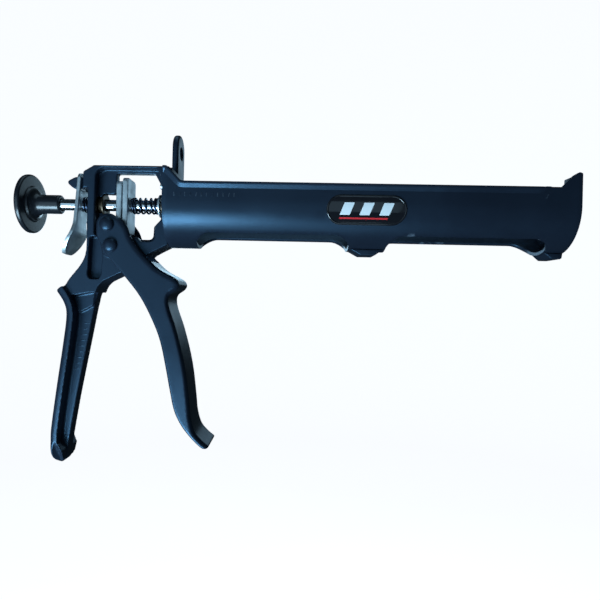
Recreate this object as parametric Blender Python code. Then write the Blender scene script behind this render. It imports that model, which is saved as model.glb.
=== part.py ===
"""Caulking gun: half-round cradle, cast handle, squeeze trigger and thrust rod.

+X points towards the nozzle, +Z is up, and the thrust rod lies along X.
The origin is the centre of the piston's front face with the rod fully forward.
Sizes below are in millimetres; solid() turns them into metres.
X places are measured from the cradle's rear face, where the datum empty stands.
"""
import math

import bmesh
import bpy
from mathutils import Vector

MM = 0.001
GAP = 0.3                      # between pieces that touch

# Cradle: holds a cartridge
CRADLE_LENGTH = 233.2
CRADLE_INNER_RADIUS = 23.5
CRADLE_WALL = 2.0
RIM_HEIGHT = 10.0              # straight walls above the rod's axis
WING_HEIGHT = 18.5             # rear wings and front horns
WING_RUN = 11.0                # from the end of the cradle to the foot of a wing's slope
HORN_SHOULDER = (4.8, 1.9)     # behind the front end and below the top of a horn
HORN_TIP = (1.7, 0.8)
LIP_OUT = 1.4                  # rim lip stands proud of the wall
LIP_THICK = 1.6
LIP_FLARE = 2.6                # height of the slanted face under the lip
LIP_RUN_OUT = 5.0              # the lip fades over this length before the horns
BULKHEAD_THICK = 5.0
FRONT_PLATE_THICK = 2.5
NOZZLE_SLOT_RADIUS = 11.0
WINDOW_HALF_WIDTH = 17.4
WINDOW_CORNER = 9.0
REAR_BAND_WIDTH = 12.5         # floor left between bulkhead and rear window
MID_BAND_WIDTH = 22.0
FRONT_BAND_WIDTH = 12.0
MID_BAND_CENTRE = 118.5
FOOT_DEPTH = 2.6               # feet reach this far below the barrel
FOOT_HALF_WIDTH = 8.0
MID_FOOT_SPAN = (-3.5, 5.0)    # flat of the foot, from the middle of its band
FRONT_FOOT_SPAN = (7.0, 1.0)   # flat of the foot, behind the front end
LUG_HALF_WIDTH = 9.0
LUG_TOP = 43.5
LUG_SETBACK = 1.2              # from the bulkhead's rear face; its front is flush
LUG_FOOT = 15.2                # height at which it leaves the bulkhead
LUG_HOLE_RADIUS = 3.4
LUG_HOLE_HEIGHT = 32.5
BADGE_LENGTH = 45.0
BADGE_HEIGHT = 16.5
BADGE_CENTRE = (115.5, -4.5)   # X and Z
BADGE_DEPTH = 0.9
BADGE_THICK = 0.6

# Handle casting
RIB_CLEARANCE = 2.0            # between the perimeter rib and the trigger's side walls
HANDLE_HALF_WIDTH = 4.5        # front web of the handle
SPINE_HALF_WIDTH = 12.0        # palm side of the handle
SPINE_DEPTH = 7.0
WEB_HALF_WIDTH = 2.6           # left between the pockets
BAR_TOP = 22.8
BAR_BOTTOM = 19.4
UPRIGHT_REAR = -49.3
UPRIGHT_THICK = 7.0
SHOULDER_REACH = 3.2           # behind the upright, above the nose
FLANGE_THICK = 6.0             # bolted to the bulkhead
NOSE_HALF_WIDTH = 5.0
NOSE_BOTTOM = 9.2
NOSE_TOP = 16.4
NOSE_TIP = -64.8
NOSE_TIP_HEIGHT = 13.2
NOSE_SLOPES = (6.0, 5.0)       # length of the tip's upper and lower slope
HANDLE_TOP = -54.4             # tip of the tang, where the handle's length is measured from
HANDLE_BOTTOM = -158.5
ARM_FRONT = -24.3              # lower edge of the arm where it meets the bulkhead
ARM_CORNER = (-10.8, -29.8)    # X and Z
GRIP_POCKET_FLOOR = 4.0        # half width left between the shallow pockets above the handle
BOSS_RADIUS = 7.0              # round the pivot
DRIVE_FLOOR = -19.0            # of the opening that the drive plates work in
DRIVE_DIP = 2.0                # its front part is deeper
DRIVE_DIP_SPAN = (15.0, 13.0, 4.6)  # behind the flange: start, full depth, end
TOP_GUSSET = (4.2, 7.5)        # in the opening's upper front corner, X and Z
LOW_GUSSET = (4.2, -8.5, -13.0)     # in its lower front corner, X and the two heights
POCKET_MARGIN = 2.6            # the pockets reach this far past the opening

# Trigger and drive
PIVOT = (-33.0, -25.9)         # X and Z of the pivot rivet
DRIVE_PIN = (-35.4, -13.6)     # X and Z of the drive rivet
TRIGGER_HALF_WIDTH = 14.0
TRIGGER_WALL = 3.0
HEAD_RADIUS = 7.0              # trigger's round top, about the drive rivet
RIVET_HEAD_RADIUS = 4.2
RIVET_HEAD_HEIGHT = 2.4
PIVOT_RIVET_RADIUS = 2.7
DRIVE_RIVET_RADIUS = 2.6
PIVOT_BUSH_WALL = 1.2
PLATE_THICK = 3.3
PLATE_CLEARANCE = 1.0          # between a drive plate and the trigger's side walls
PLATE_TOPS = (14.0, 16.0)      # rear plate, front plate
PLATE_BOTTOMS = (-16.6, -17.6)
PLATE_SPACE = 0.5

# Thrust rod, knob and piston
ROD_RADIUS = 3.5
PISTON_RADIUS = 16.0
PISTON_THICK = 2.5
PISTON_CLEARANCE = 3.5         # to the front plate
PISTON_HUB_RADIUS = 7.0
PISTON_HUB_LENGTH = 9.0
NUT_THICK = 5.0
NUT_ACROSS_FLATS = 13.0
WASHER_THICK = 0.8
KNOB_RADIUS = 18.0
KNOB_REAR = -90.0
KNOB_RIM_THICK = 3.2
KNOB_FLARE_RADIUS = 11.0
KNOB_HUB_RADIUS = 5.8
KNOB_HUB_FRONT = -69.0
KNOB_WALL = 5.0                # solid end behind the rod
KNOB_PIN_RADIUS = 1.2
KNOB_PIN_PLACE = -74.0

# Release lever
LEVER_THICK = 2.0
LEVER_HALF_WIDTH = 11.0
LEVER_AT_ROD = -56.7           # middle of the plate on the rod's axis
LEVER_LEAN = math.radians(4.4)
LEVER_TOP = 18.8
LEVER_BEND = -18.0
PAD_SLOPE = math.radians(28.0)
PAD_LENGTH = 14.5
LEVER_ROD_CLEARANCE = 0.6
NOSE_CLEARANCE = 0.6

# Bushes, springs and screws
BUSH_WALL = 1.4
COLLAR_RADIUS = 7.0
COLLAR_THICK = 1.0
RETURN_SPRING_ROOM = 0.35      # between the rod and the wire
RETURN_WIRE_RADIUS = 0.65
RETURN_TURNS = 6.5
RELEASE_SPRING_ROOM = 0.4
RELEASE_WIRE_RADIUS = 0.5
RELEASE_TURNS = 3.0
SCREW_RADIUS = 1.75
SCREW_HEAD_RADIUS = 3.2
SCREW_HEAD_THICK = 2.0
SCREW_WASHER_RADIUS = 3.9
SCREW_PLACES = ((-5.6, 11.0), (5.6, 11.0), (-5.6, -13.0), (5.6, -13.0))  # Y and Z

# Worked out from the sizes above
CRADLE_RADIUS = CRADLE_INNER_RADIUS + CRADLE_WALL
FRONT_PLATE_INNER = CRADLE_LENGTH - FRONT_PLATE_THICK
PISTON_FACE = FRONT_PLATE_INNER - PISTON_CLEARANCE
LUG_THICK = BULKHEAD_THICK - LUG_SETBACK
UPRIGHT_FRONT = UPRIGHT_REAR + UPRIGHT_THICK
FLANGE_FRONT = -GAP
FLANGE_REAR = FLANGE_FRONT - FLANGE_THICK
BUSH_BORE = ROD_RADIUS + GAP
BUSH_RADIUS = BUSH_BORE + BUSH_WALL
BUSH_HOLE = BUSH_RADIUS + GAP
TRIGGER_INNER = TRIGGER_HALF_WIDTH - TRIGGER_WALL
RIB_HALF_WIDTH = TRIGGER_INNER - RIB_CLEARANCE
BOSS_HALF_WIDTH = TRIGGER_INNER - GAP
PLATE_HALF_WIDTH = TRIGGER_INNER - PLATE_CLEARANCE
RETURN_SPRING_RADIUS = ROD_RADIUS + RETURN_SPRING_ROOM + RETURN_WIRE_RADIUS
RELEASE_SPRING_RADIUS = ROD_RADIUS + RELEASE_SPRING_ROOM + RELEASE_WIRE_RADIUS
PLATE_REAR = DRIVE_PIN[0] + DRIVE_RIVET_RADIUS + GAP
PLATES_FRONT = PLATE_REAR + 2 * PLATE_THICK + PLATE_SPACE
WINDOWS = (
    (BULKHEAD_THICK + REAR_BAND_WIDTH, MID_BAND_CENTRE - MID_BAND_WIDTH / 2),
    (MID_BAND_CENTRE + MID_BAND_WIDTH / 2, CRADLE_LENGTH - FRONT_BAND_WIDTH),
)


# ---------------------------------------------------------------- helpers

def clear_scene():
    for item in list(bpy.data.objects):
        bpy.data.objects.remove(item, do_unlink=True)


def material(name, colour, roughness, metallic):
    made = bpy.data.materials.new(name)
    made.use_nodes = True
    shader = made.node_tree.nodes["Principled BSDF"]
    shader.inputs["Base Color"].default_value = (*colour, 1.0)
    shader.inputs["Roughness"].default_value = roughness
    shader.inputs["Metallic"].default_value = metallic
    return made


def solid(name, shape, finish=None, origin=(0.0, 0.0, 0.0), smooth_angle=35.0):
    """Turn a shape in millimetres into an object whose origin is at the given place."""
    bmesh.ops.recalc_face_normals(shape, faces=shape.faces)
    for vertex in shape.verts:
        vertex.co = (vertex.co - Vector(origin)) * MM
    mesh = bpy.data.meshes.new(name)
    shape.to_mesh(mesh)
    shape.free()
    mesh.shade_smooth()
    mesh.set_sharp_from_angle(angle=math.radians(smooth_angle))
    made = bpy.data.objects.new(name, mesh)
    made.location = Vector(origin) * MM
    made.parent = bpy.data.objects["datum"]
    bpy.context.collection.objects.link(made)
    if finish is None:
        made.hide_render = True
        made.display_type = "WIRE"
    else:
        mesh.materials.append(finish)
    return made


def boolean(target, operation, tool):
    step = target.modifiers.new(operation.lower() + "_" + tool.name, "BOOLEAN")
    step.operation = operation
    step.solver = "EXACT"
    step.object = tool


def add_to(target, name, shape):
    boolean(target, "UNION", solid(target.name + "_add_" + name, shape))


def cut_from(target, name, shape):
    boolean(target, "DIFFERENCE", solid(target.name + "_cut_" + name, shape))


def bevel(target, width, segments=2, angle=40.0):
    step = target.modifiers.new("edge_round", "BEVEL")
    step.width = width * MM
    step.segments = segments
    step.limit_method = "ANGLE"
    step.angle_limit = math.radians(angle)


def arc(centre, radius, start_deg, end_deg, steps):
    """Points on an arc in a plane, from one angle to another."""
    points = []
    for step in range(steps + 1):
        angle = math.radians(start_deg + (end_deg - start_deg) * step / steps)
        points.append((centre[0] + radius * math.cos(angle), centre[1] + radius * math.sin(angle)))
    return points


def rounded(corners, steps=4):
    """A closed outline from (x, z, radius) corners, with an arc at each rounded one."""
    points = []
    for number, (x, z, radius) in enumerate(corners):
        here = Vector((x, z))
        if radius == 0:
            points.append((x, z))
            continue
        back = (Vector(corners[number - 1][:2]) - here).normalized()
        ahead = (Vector(corners[(number + 1) % len(corners)][:2]) - here).normalized()
        half_angle = back.angle(ahead) / 2
        centre = here + (back + ahead).normalized() * (radius / math.sin(half_angle))
        first = here + back * (radius / math.tan(half_angle)) - centre
        last = here + ahead * (radius / math.tan(half_angle)) - centre
        start = math.degrees(math.atan2(first.y, first.x))
        turn = (math.degrees(math.atan2(last.y, last.x)) - start + 180.0) % 360.0 - 180.0
        points += arc(centre, radius, start, start + turn, steps)
    return points


def smooth_path(points, steps=3):
    """An open Catmull-Rom curve through the points."""
    known = [Vector(point) for point in points]
    padded = [2 * known[0] - known[1], *known, 2 * known[-1] - known[-2]]
    path = []
    for number in range(1, len(padded) - 2):
        before, start, end, after = padded[number - 1:number + 3]
        for step in range(steps):
            t = step / steps
            path.append(0.5 * (2 * start + (end - before) * t
                               + (2 * before - 5 * start + 4 * end - after) * t ** 2
                               + (3 * start - before - 3 * end + after) * t ** 3))
    path.append(known[-1])
    return [tuple(point) for point in path]


def offset_path(points, distance):
    """The open path moved sideways, to its right when the distance is positive."""
    moved = []
    for number, point in enumerate(points):
        before = Vector(points[max(number - 1, 0)])
        after = Vector(points[min(number + 1, len(points) - 1)])
        along = (after - before).normalized()
        moved.append((point[0] + along.y * distance, point[1] - along.x * distance))
    return moved


def prism(outline, low, high, axis):
    """Extrude an outline along X, Y or Z; the outline's two axes are the other two, in order."""
    index = "XYZ".index(axis)
    shape = bmesh.new()
    ring = []
    for first, second in outline:
        place = [first, second]
        place.insert(index, low)
        ring.append(shape.verts.new(place))
    base = shape.faces.new(ring)
    grown = bmesh.ops.extrude_face_region(shape, geom=[base])
    move = Vector((0.0, 0.0, 0.0))
    move[index] = high - low
    top = [item for item in grown["geom"] if isinstance(item, bmesh.types.BMVert)]
    bmesh.ops.translate(shape, verts=top, vec=move)
    return shape


def side_prism(outline, half_width):
    return prism(outline, -half_width, half_width, "Y")


def turned(profile, axis="X", centre=(0.0, 0.0, 0.0), segments=24):
    """Turn a closed (along, radius) profile about an axis through the centre."""
    index = "XYZ".index(axis)
    others = [number for number in range(3) if number != index]
    shape = bmesh.new()
    rings = []
    for along, radius in profile:
        ring = []
        for step in range(segments if radius > 0 else 1):
            angle = 2 * math.pi * step / segments
            place = Vector(centre)
            place[index] += along
            place[others[0]] += radius * math.cos(angle)
            place[others[1]] += radius * math.sin(angle)
            ring.append(shape.verts.new(place))
        rings.append(ring)
    pairs = list(zip(rings, rings[1:]))
    if len(rings[0]) > 1:
        pairs.append((rings[-1], rings[0]))
    for near, far in pairs:
        for step in range(segments):
            after = (step + 1) % segments
            corners = [near[step % len(near)], near[after % len(near)],
                       far[after % len(far)], far[step % len(far)]]
            unique = list(dict.fromkeys(corners))
            if len(unique) > 2:
                shape.faces.new(unique)
    return shape


def cylinder(radius, low, high, axis="X", centre=(0.0, 0.0, 0.0), segments=24):
    return turned([(low, 0), (low, radius), (high, radius), (high, 0)], axis, centre, segments)


def sleeve(inner, outer, low, high, segments=24):
    return turned([(low, inner), (low, outer), (high, outer), (high, inner)], "X",
                  segments=segments)


def coil(radius, wire, low, high, turns, dead_turns=0.75, steps=14, sides=6):
    """A compression spring along X, with close end turns, as one closed tube."""
    shape = bmesh.new()
    rings = []
    total = round(turns * steps)
    travel = high - low - 2 * wire
    dead_rise = 2.15 * wire * dead_turns
    for step in range(total + 1):
        turn = step / steps
        if turn < dead_turns:
            along = dead_rise * turn / dead_turns
        elif turn > turns - dead_turns:
            along = travel - dead_rise * (turns - turn) / dead_turns
        else:
            share = (turn - dead_turns) / (turns - 2 * dead_turns)
            along = dead_rise + (travel - 2 * dead_rise) * share
        angle = 2 * math.pi * turn
        ring = []
        for side in range(sides):
            around = 2 * math.pi * side / sides
            reach = radius + wire * math.cos(around)
            ring.append(shape.verts.new((low + wire + along + wire * math.sin(around),
                                         reach * math.cos(angle), reach * math.sin(angle))))
        rings.append(ring)
    for near, far in zip(rings, rings[1:]):
        for side in range(sides):
            after = (side + 1) % sides
            shape.faces.new((near[side], near[after], far[after], far[side]))
    shape.faces.new(rings[0])
    shape.faces.new(rings[-1])
    return shape


# ---------------------------------------------------------------- cradle

def u_outline(radius, top, steps=24):
    """A half round below the axis with straight walls up to the top, in Y and Z."""
    return [(-radius, top), *arc((0.0, 0.0), radius, 180.0, 360.0, steps), (radius, top)]


def rim_line(drop=0.0):
    """The rim's line from the rear wings to the front horns, in X and Z."""
    wing = WING_HEIGHT - drop
    rim = RIM_HEIGHT - drop
    shoulder, tip = HORN_SHOULDER, HORN_TIP
    return [(0.0, wing), (WING_RUN - (WING_HEIGHT - RIM_HEIGHT), wing), (WING_RUN, rim),
            (CRADLE_LENGTH - WING_RUN, rim), (CRADLE_LENGTH - shoulder[0], wing - shoulder[1]),
            (CRADLE_LENGTH - tip[0], wing), (CRADLE_LENGTH, wing - tip[1])]


def foot(target, name, rear, front, low_rear, low_front):
    top = -CRADLE_INNER_RADIUS - CRADLE_WALL / 2
    bottom = -CRADLE_RADIUS - FOOT_DEPTH
    outline = [(rear, top), (low_rear, bottom), (low_front, bottom), (front, top)]
    add_to(target, name, side_prism(outline, FOOT_HALF_WIDTH))


def stadium(length, height, centre, steps=8):
    reach = (length - height) / 2
    return [*arc((centre[0] + reach, centre[1]), height / 2, -90.0, 90.0, steps),
            *arc((centre[0] - reach, centre[1]), height / 2, 90.0, 270.0, steps)]


def curved_skin(name, side, grow, inner, outer, finish=None):
    """A stadium cut out of a thin shell that follows the cradle's side."""
    outline = stadium(BADGE_LENGTH + grow, BADGE_HEIGHT + grow, BADGE_CENTRE)
    near, far = sorted((side * (inner - 12.0), side * (outer + 5.0)))
    made = solid(name, prism(outline, near, far, "Y"), finish)
    top = BADGE_CENTRE[1] + BADGE_HEIGHT
    shell = u_outline(outer, top) + u_outline(inner, top)[::-1]
    skin = solid(name + "_skin", prism(shell, 0.0, CRADLE_LENGTH, "X"))
    boolean(made, "INTERSECT", skin)
    return made


def make_cradle(finish):
    cradle = solid("cradle", prism(u_outline(CRADLE_RADIUS, WING_HEIGHT), 0.0, CRADLE_LENGTH, "X"),
                   finish)
    past = CRADLE_LENGTH + 5.0
    over_rim = rim_line() + [(past, WING_HEIGHT - HORN_TIP[1]), (past, 60.0), (-5.0, 60.0),
                             (-5.0, WING_HEIGHT)]
    cut_from(cradle, "above_rim", side_prism(over_rim, 2 * CRADLE_RADIUS))
    lip_end = CRADLE_LENGTH - WING_RUN - LIP_RUN_OUT
    lip = rim_line(0.02)[:4] + [(lip_end, RIM_HEIGHT - LIP_THICK)] + rim_line(LIP_THICK)[:3][::-1]
    add_to(cradle, "lip", side_prism(lip, CRADLE_RADIUS + LIP_OUT))
    lip_under = RIM_HEIGHT - LIP_THICK + 0.1
    flare_low = lip_under - LIP_FLARE
    flare = [(-CRADLE_RADIUS - LIP_OUT, lip_under), (-CRADLE_RADIUS + 0.1, flare_low),
             (CRADLE_RADIUS - 0.1, flare_low), (CRADLE_RADIUS + LIP_OUT, lip_under)]
    add_to(cradle, "lip_flare", prism(flare, WING_RUN, lip_end, "X"))
    half_band = MID_BAND_WIDTH / 2
    foot(cradle, "mid_foot", MID_BAND_CENTRE - half_band + 1.0, MID_BAND_CENTRE + half_band - 1.0,
         MID_BAND_CENTRE + MID_FOOT_SPAN[0], MID_BAND_CENTRE + MID_FOOT_SPAN[1])
    foot(cradle, "front_foot", CRADLE_LENGTH - FRONT_BAND_WIDTH + 1.0, CRADLE_LENGTH - 0.4,
         CRADLE_LENGTH - FRONT_FOOT_SPAN[0], CRADLE_LENGTH - FRONT_FOOT_SPAN[1])
    inside = u_outline(CRADLE_INNER_RADIUS, LUG_TOP + 10.0)
    cut_from(cradle, "inside", prism(inside, BULKHEAD_THICK, FRONT_PLATE_INNER, "X"))
    half = LUG_HALF_WIDTH
    shoulder = LUG_TOP - half
    lug = [(-half, LUG_FOOT), (-half, shoulder), *arc((0.0, shoulder), half, 180.0, 0.0, 10)[1:-1],
           (half, shoulder), (half, LUG_FOOT)]
    add_to(cradle, "lug", prism(lug, LUG_SETBACK, LUG_SETBACK + LUG_THICK, "X"))
    cut_from(cradle, "lug_hole", cylinder(LUG_HOLE_RADIUS, -3.0, BULKHEAD_THICK + 7.0,
                                          centre=(0.0, 0.0, LUG_HOLE_HEIGHT), segments=20))
    slot = u_outline(NOZZLE_SLOT_RADIUS, WING_HEIGHT + 5.0, 14)
    cut_from(cradle, "nozzle_slot", prism(slot, FRONT_PLATE_INNER - 3.0, CRADLE_LENGTH + 3.0, "X"))
    for number, (rear, front) in enumerate(WINDOWS):
        width, corner = WINDOW_HALF_WIDTH, WINDOW_CORNER
        outline = rounded([(rear, -width, corner), (front, -width, corner),
                           (front, width, corner), (rear, width, corner)])
        cut_from(cradle, "window_%d" % number, prism(outline, -2 * CRADLE_RADIUS, -5.0, "Z"))
    cut_from(cradle, "rod_hole", cylinder(BUSH_HOLE, -3.0, BULKHEAD_THICK + 7.0))
    for number, (y, z) in enumerate(SCREW_PLACES):
        cut_from(cradle, "screw_hole_%d" % number,
                 cylinder(SCREW_RADIUS + GAP, -3.0, BULKHEAD_THICK + 7.0, centre=(0.0, y, z),
                          segments=14))
    for side, hand in ((-1, "right"), (1, "left")):
        skin = curved_skin("cradle_recess_" + hand, side, 2 * GAP,
                           CRADLE_RADIUS - BADGE_DEPTH, CRADLE_RADIUS + 2.0)
        boolean(cradle, "DIFFERENCE", skin)


def make_badges(finish):
    inner = CRADLE_RADIUS - BADGE_DEPTH + GAP
    for side, hand in ((-1, "right"), (1, "left")):
        curved_skin("badge_" + hand, side, 0.0, inner, inner + BADGE_THICK, finish)


# ---------------------------------------------------------------- handle casting

CUT_REACH = 30.0               # cutters reach this far past what they cut
HOLLOW_FALL = 14.0             # the trigger's hollow ends on a slope that falls this far
GRIP_POCKET = [(-47.6, -20.0, 2.0), (-41.4, -20.0, 2.0), (-39.5, -32.0, 3.0),
               (-40.5, -46.0, 3.0), (-48.5, -46.0, 3.0)]  # X, Z and corner radius


def down_handle(shares):
    """Points from (X, share of the handle's length below the tang)."""
    return [(x, HANDLE_TOP + share * (HANDLE_BOTTOM - HANDLE_TOP)) for x, share in shares]


REAR_EDGE = [(-49.8, -12.0), (-49.6, -28.0), (-52.3, -36.6), (-59.4, -45.9), (-67.2, HANDLE_TOP)]
PALM_EDGE = down_handle([(-67.2, 0.0), (-62.6, 0.068), (-61.2, 0.14), (-63.0, 0.313),
                         (-66.4, 0.573), (-69.0, 0.803), (-69.0, 0.9), (-67.2, 0.966),
                         (-63.5, 1.0)])
FINGER_EDGE = [*down_handle([(-63.5, 1.0), (-60.7, 0.971), (-59.6, 0.88), (-55.8, 0.64),
                             (-52.3, 0.448), (-48.5, 0.246), (-45.4, 0.078)]),
               (-43.3, -54.0), (-40.0, -48.2), (-33.6, -44.4), (-25.0, -40.4), (-16.8, -35.2)]


def frame_outline():
    """Side outline of the whole casting, from the shoulder round the front and the handle."""
    upper = [(UPRIGHT_REAR - SHOULDER_REACH, BAR_TOP - 4.0), (UPRIGHT_REAR + 3.5, BAR_TOP),
             (FLANGE_FRONT, BAR_TOP), (FLANGE_FRONT, ARM_FRONT), ARM_CORNER]
    front = smooth_path(FINGER_EDGE, 2)[::-1]
    palm = smooth_path(PALM_EDGE, 2)[::-1]
    rear = smooth_path(REAR_EDGE, 2)[::-1]
    return [*upper, *front, *palm[1:], *rear[1:], (UPRIGHT_REAR, NOSE_BOTTOM),
            (UPRIGHT_REAR - SHOULDER_REACH, NOSE_BOTTOM)]


def upper_outline():
    """The ribbed upper frame, down to the top of the handle."""
    return [(UPRIGHT_REAR - SHOULDER_REACH, BAR_TOP - 4.0), (UPRIGHT_REAR + 3.5, BAR_TOP),
            (FLANGE_FRONT, BAR_TOP), (FLANGE_FRONT, ARM_FRONT), ARM_CORNER,
            *FINGER_EDGE[:-5:-1], (-46.0, -54.0), (-56.0, -56.0), (-64.5, -54.4),
            *REAR_EDGE[-2::-1],
            (UPRIGHT_REAR, NOSE_BOTTOM), (UPRIGHT_REAR - SHOULDER_REACH, NOSE_BOTTOM)]


def spine_outline():
    """The wide palm side of the handle."""
    palm = smooth_path(PALM_EDGE, 2)
    inner = offset_path(palm, -SPINE_DEPTH)
    narrowest = FINGER_EDGE[2]
    return palm + [FINGER_EDGE[1]] + [point for point in inner[::-1] if point[1] > narrowest[1]]


def window_outline(margin):
    """The opening that the drive plates and the return spring work in."""
    left = UPRIGHT_FRONT - margin
    right = FLANGE_REAR + margin
    top = BAR_BOTTOM + margin * 0.8
    floor = DRIVE_FLOOR - margin * 0.6
    start, deep, end = DRIVE_DIP_SPAN
    return rounded([(left, top, 5.0), (right - TOP_GUSSET[0], top, 1.0),
                    (right, top - TOP_GUSSET[1], 2.0), (right, LOW_GUSSET[1], 2.0),
                    (right - LOW_GUSSET[0], LOW_GUSSET[2], 1.5),
                    (right - end, floor - DRIVE_DIP, 2.5), (right - deep, floor - DRIVE_DIP, 2.0),
                    (right - start, floor, 1.0), (left, floor, 3.0)], 3)


def make_frame(finish):
    frame = solid("frame", side_prism(frame_outline(), HANDLE_HALF_WIDTH), finish)
    add_to(frame, "ribs", side_prism(upper_outline(), RIB_HALF_WIDTH))
    spine = solid("frame_add_spine", side_prism(spine_outline(), SPINE_HALF_WIDTH))
    bevel(spine, 3.5, 3)
    boolean(frame, "UNION", spine)
    upper_slope, lower_slope = NOSE_SLOPES
    root = UPRIGHT_REAR + 2.0
    nose = rounded([(root, NOSE_TOP, 0), (NOSE_TIP + upper_slope, NOSE_TOP, 1.5),
                    (NOSE_TIP, NOSE_TIP_HEIGHT, 1.5),
                    (NOSE_TIP + lower_slope, NOSE_BOTTOM, 1.0), (root, NOSE_BOTTOM, 0)], 3)
    add_to(frame, "nose", side_prism(nose, NOSE_HALF_WIDTH))
    cut_from(frame, "window", side_prism(window_outline(0.0), CUT_REACH))
    for side in (-1, 1):
        near, far = sorted((side * WEB_HALF_WIDTH, side * CUT_REACH))
        cut_from(frame, "pocket_%d" % side, prism(window_outline(POCKET_MARGIN), near, far, "Y"))
        near, far = sorted((side * GRIP_POCKET_FLOOR, side * CUT_REACH))
        cut_from(frame, "grip_pocket_%d" % side, prism(rounded(GRIP_POCKET, 3), near, far, "Y"))
    add_to(frame, "pivot_boss", cylinder(BOSS_RADIUS, -BOSS_HALF_WIDTH, BOSS_HALF_WIDTH, "Y",
                                         (PIVOT[0], 0.0, PIVOT[1])))
    cut_from(frame, "pivot_hole", cylinder(PIVOT_RIVET_RADIUS + PIVOT_BUSH_WALL + 2 * GAP,
                                           -CUT_REACH, CUT_REACH, "Y",
                                           (PIVOT[0], 0.0, PIVOT[1]), 20))
    cut_from(frame, "rod_hole", cylinder(BUSH_HOLE, UPRIGHT_REAR - 9.0, 5.0))
    for number, (y, z) in enumerate(SCREW_PLACES):
        cut_from(frame, "screw_hole_%d" % number,
                 cylinder(SCREW_RADIUS + GAP, FLANGE_REAR - 3.0, 5.0, centre=(0.0, y, z),
                          segments=14))


# ---------------------------------------------------------------- trigger

TRIGGER_FRONT = [(-23.6, -14.7), (-21.6, -19.6), (-18.4, -24.8), (-14.4, -29.8), (-9.8, -34.4),
                 (-3.8, -39.6), (5.5, -44.5), (8.1, -47.8), (6.8, -51.0), (2.7, -54.2),
                 (1.8, -58.2), (3.1, -64.0), (6.6, -73.5), (10.8, -88.0), (13.7, -101.5),
                 (15.9, -118.0), (17.0, -127.0), (19.5, -135.0), (23.6, -139.8), (27.9, -143.2)]
TRIGGER_REAR = [(27.9, -143.2), (27.2, -144.6), (23.0, -144.0), (13.5, -134.4), (7.3, -123.8),
                (4.0, -110.5), (1.3, -97.5), (-2.4, -82.0), (-7.5, -69.5), (-15.1, -55.8),
                (-24.5, -44.2), (-31.4, -36.8), (-37.6, -28.9), (-42.0, -20.0)]
WALL_START = 10                # the front wall begins this many curve points down the front edge
WALL_END = 35                  # and its hollow ends here, before the solid tip


def trigger_outline():
    head = arc(DRIVE_PIN, HEAD_RADIUS, 178.0, 40.0, 7)
    front = smooth_path([(-27.9, -9.2), *TRIGGER_FRONT], 2)
    rear = smooth_path(TRIGGER_REAR, 2)
    return head, front, rear


def make_trigger(finish):
    head, front, rear = trigger_outline()
    centre = (PIVOT[0], 0.0, PIVOT[1])
    trigger = solid("trigger", side_prism([*head, *front, *rear[1:]], TRIGGER_HALF_WIDTH),
                    finish, centre)
    bevel(trigger, 1.2, 2, 60.0)
    inner = offset_path(front, TRIGGER_WALL)[WALL_START:WALL_END]
    opening = offset_path(front, -8.0)[WALL_START]
    behind = TRIGGER_REAR[-1][0] - CUT_REACH
    hollow = [*inner, (behind, inner[-1][1] - HOLLOW_FALL), (behind, CUT_REACH),
              (opening[0], CUT_REACH), opening]
    cut_from(trigger, "hollow", side_prism(hollow, TRIGGER_INNER))
    for name, place, radius in (("pivot", PIVOT, PIVOT_RIVET_RADIUS),
                                ("drive", DRIVE_PIN, DRIVE_RIVET_RADIUS)):
        cut_from(trigger, name + "_hole", cylinder(radius + GAP, -CUT_REACH, CUT_REACH, "Y",
                                                   (place[0], 0.0, place[1]), 20))


def rivet(name, place, radius, finish, origin):
    """A rivet through the trigger along Y, with a dome head on each side."""
    seat = TRIGGER_HALF_WIDTH + GAP
    dome = [(seat, RIVET_HEAD_RADIUS)]
    for degrees in (25.0, 50.0, 72.0):
        angle = math.radians(degrees)
        dome.append((seat + 0.4 + RIVET_HEAD_HEIGHT * math.sin(angle),
                     RIVET_HEAD_RADIUS * math.cos(angle)))
    dome.append((seat + 0.4 + RIVET_HEAD_HEIGHT, 0))
    half = [(seat, radius), *dome]
    profile = [(-along, reach) for along, reach in half[::-1]] + half
    solid(name, turned(profile, "Y", (place[0], 0.0, place[1]), 20), finish, origin)


def make_drive(steel, dark):
    pivot = (PIVOT[0], 0.0, PIVOT[1])
    rivet("pivot_rivet", PIVOT, PIVOT_RIVET_RADIUS, dark, pivot)
    rivet("drive_rivet", DRIVE_PIN, DRIVE_RIVET_RADIUS, dark, pivot)
    bore = PIVOT_RIVET_RADIUS + GAP
    half = BOSS_HALF_WIDTH
    bush = [(-half, bore), (-half, bore + PIVOT_BUSH_WALL), (half, bore + PIVOT_BUSH_WALL),
            (half, bore)]
    solid("pivot_bush", turned(bush, "Y", pivot, 20), steel)
    names = ("drive_plate_rear", "drive_plate_front")
    for number, (name, top, bottom) in enumerate(zip(names, PLATE_TOPS, PLATE_BOTTOMS)):
        rear = PLATE_REAR + number * (PLATE_THICK + PLATE_SPACE)
        width = PLATE_HALF_WIDTH
        outline = rounded([(-width, bottom, 2.5), (-width, top, 2.5), (width, top, 2.5),
                           (width, bottom, 2.5)], 3)
        plate = solid(name, prism(outline, rear, rear + PLATE_THICK, "X"), steel,
                      (rear, 0.0, 0.0))
        cut_from(plate, "rod_hole", cylinder(ROD_RADIUS + GAP, rear - 2.0, rear + 8.0))


# ---------------------------------------------------------------- rod, knob and piston

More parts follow.
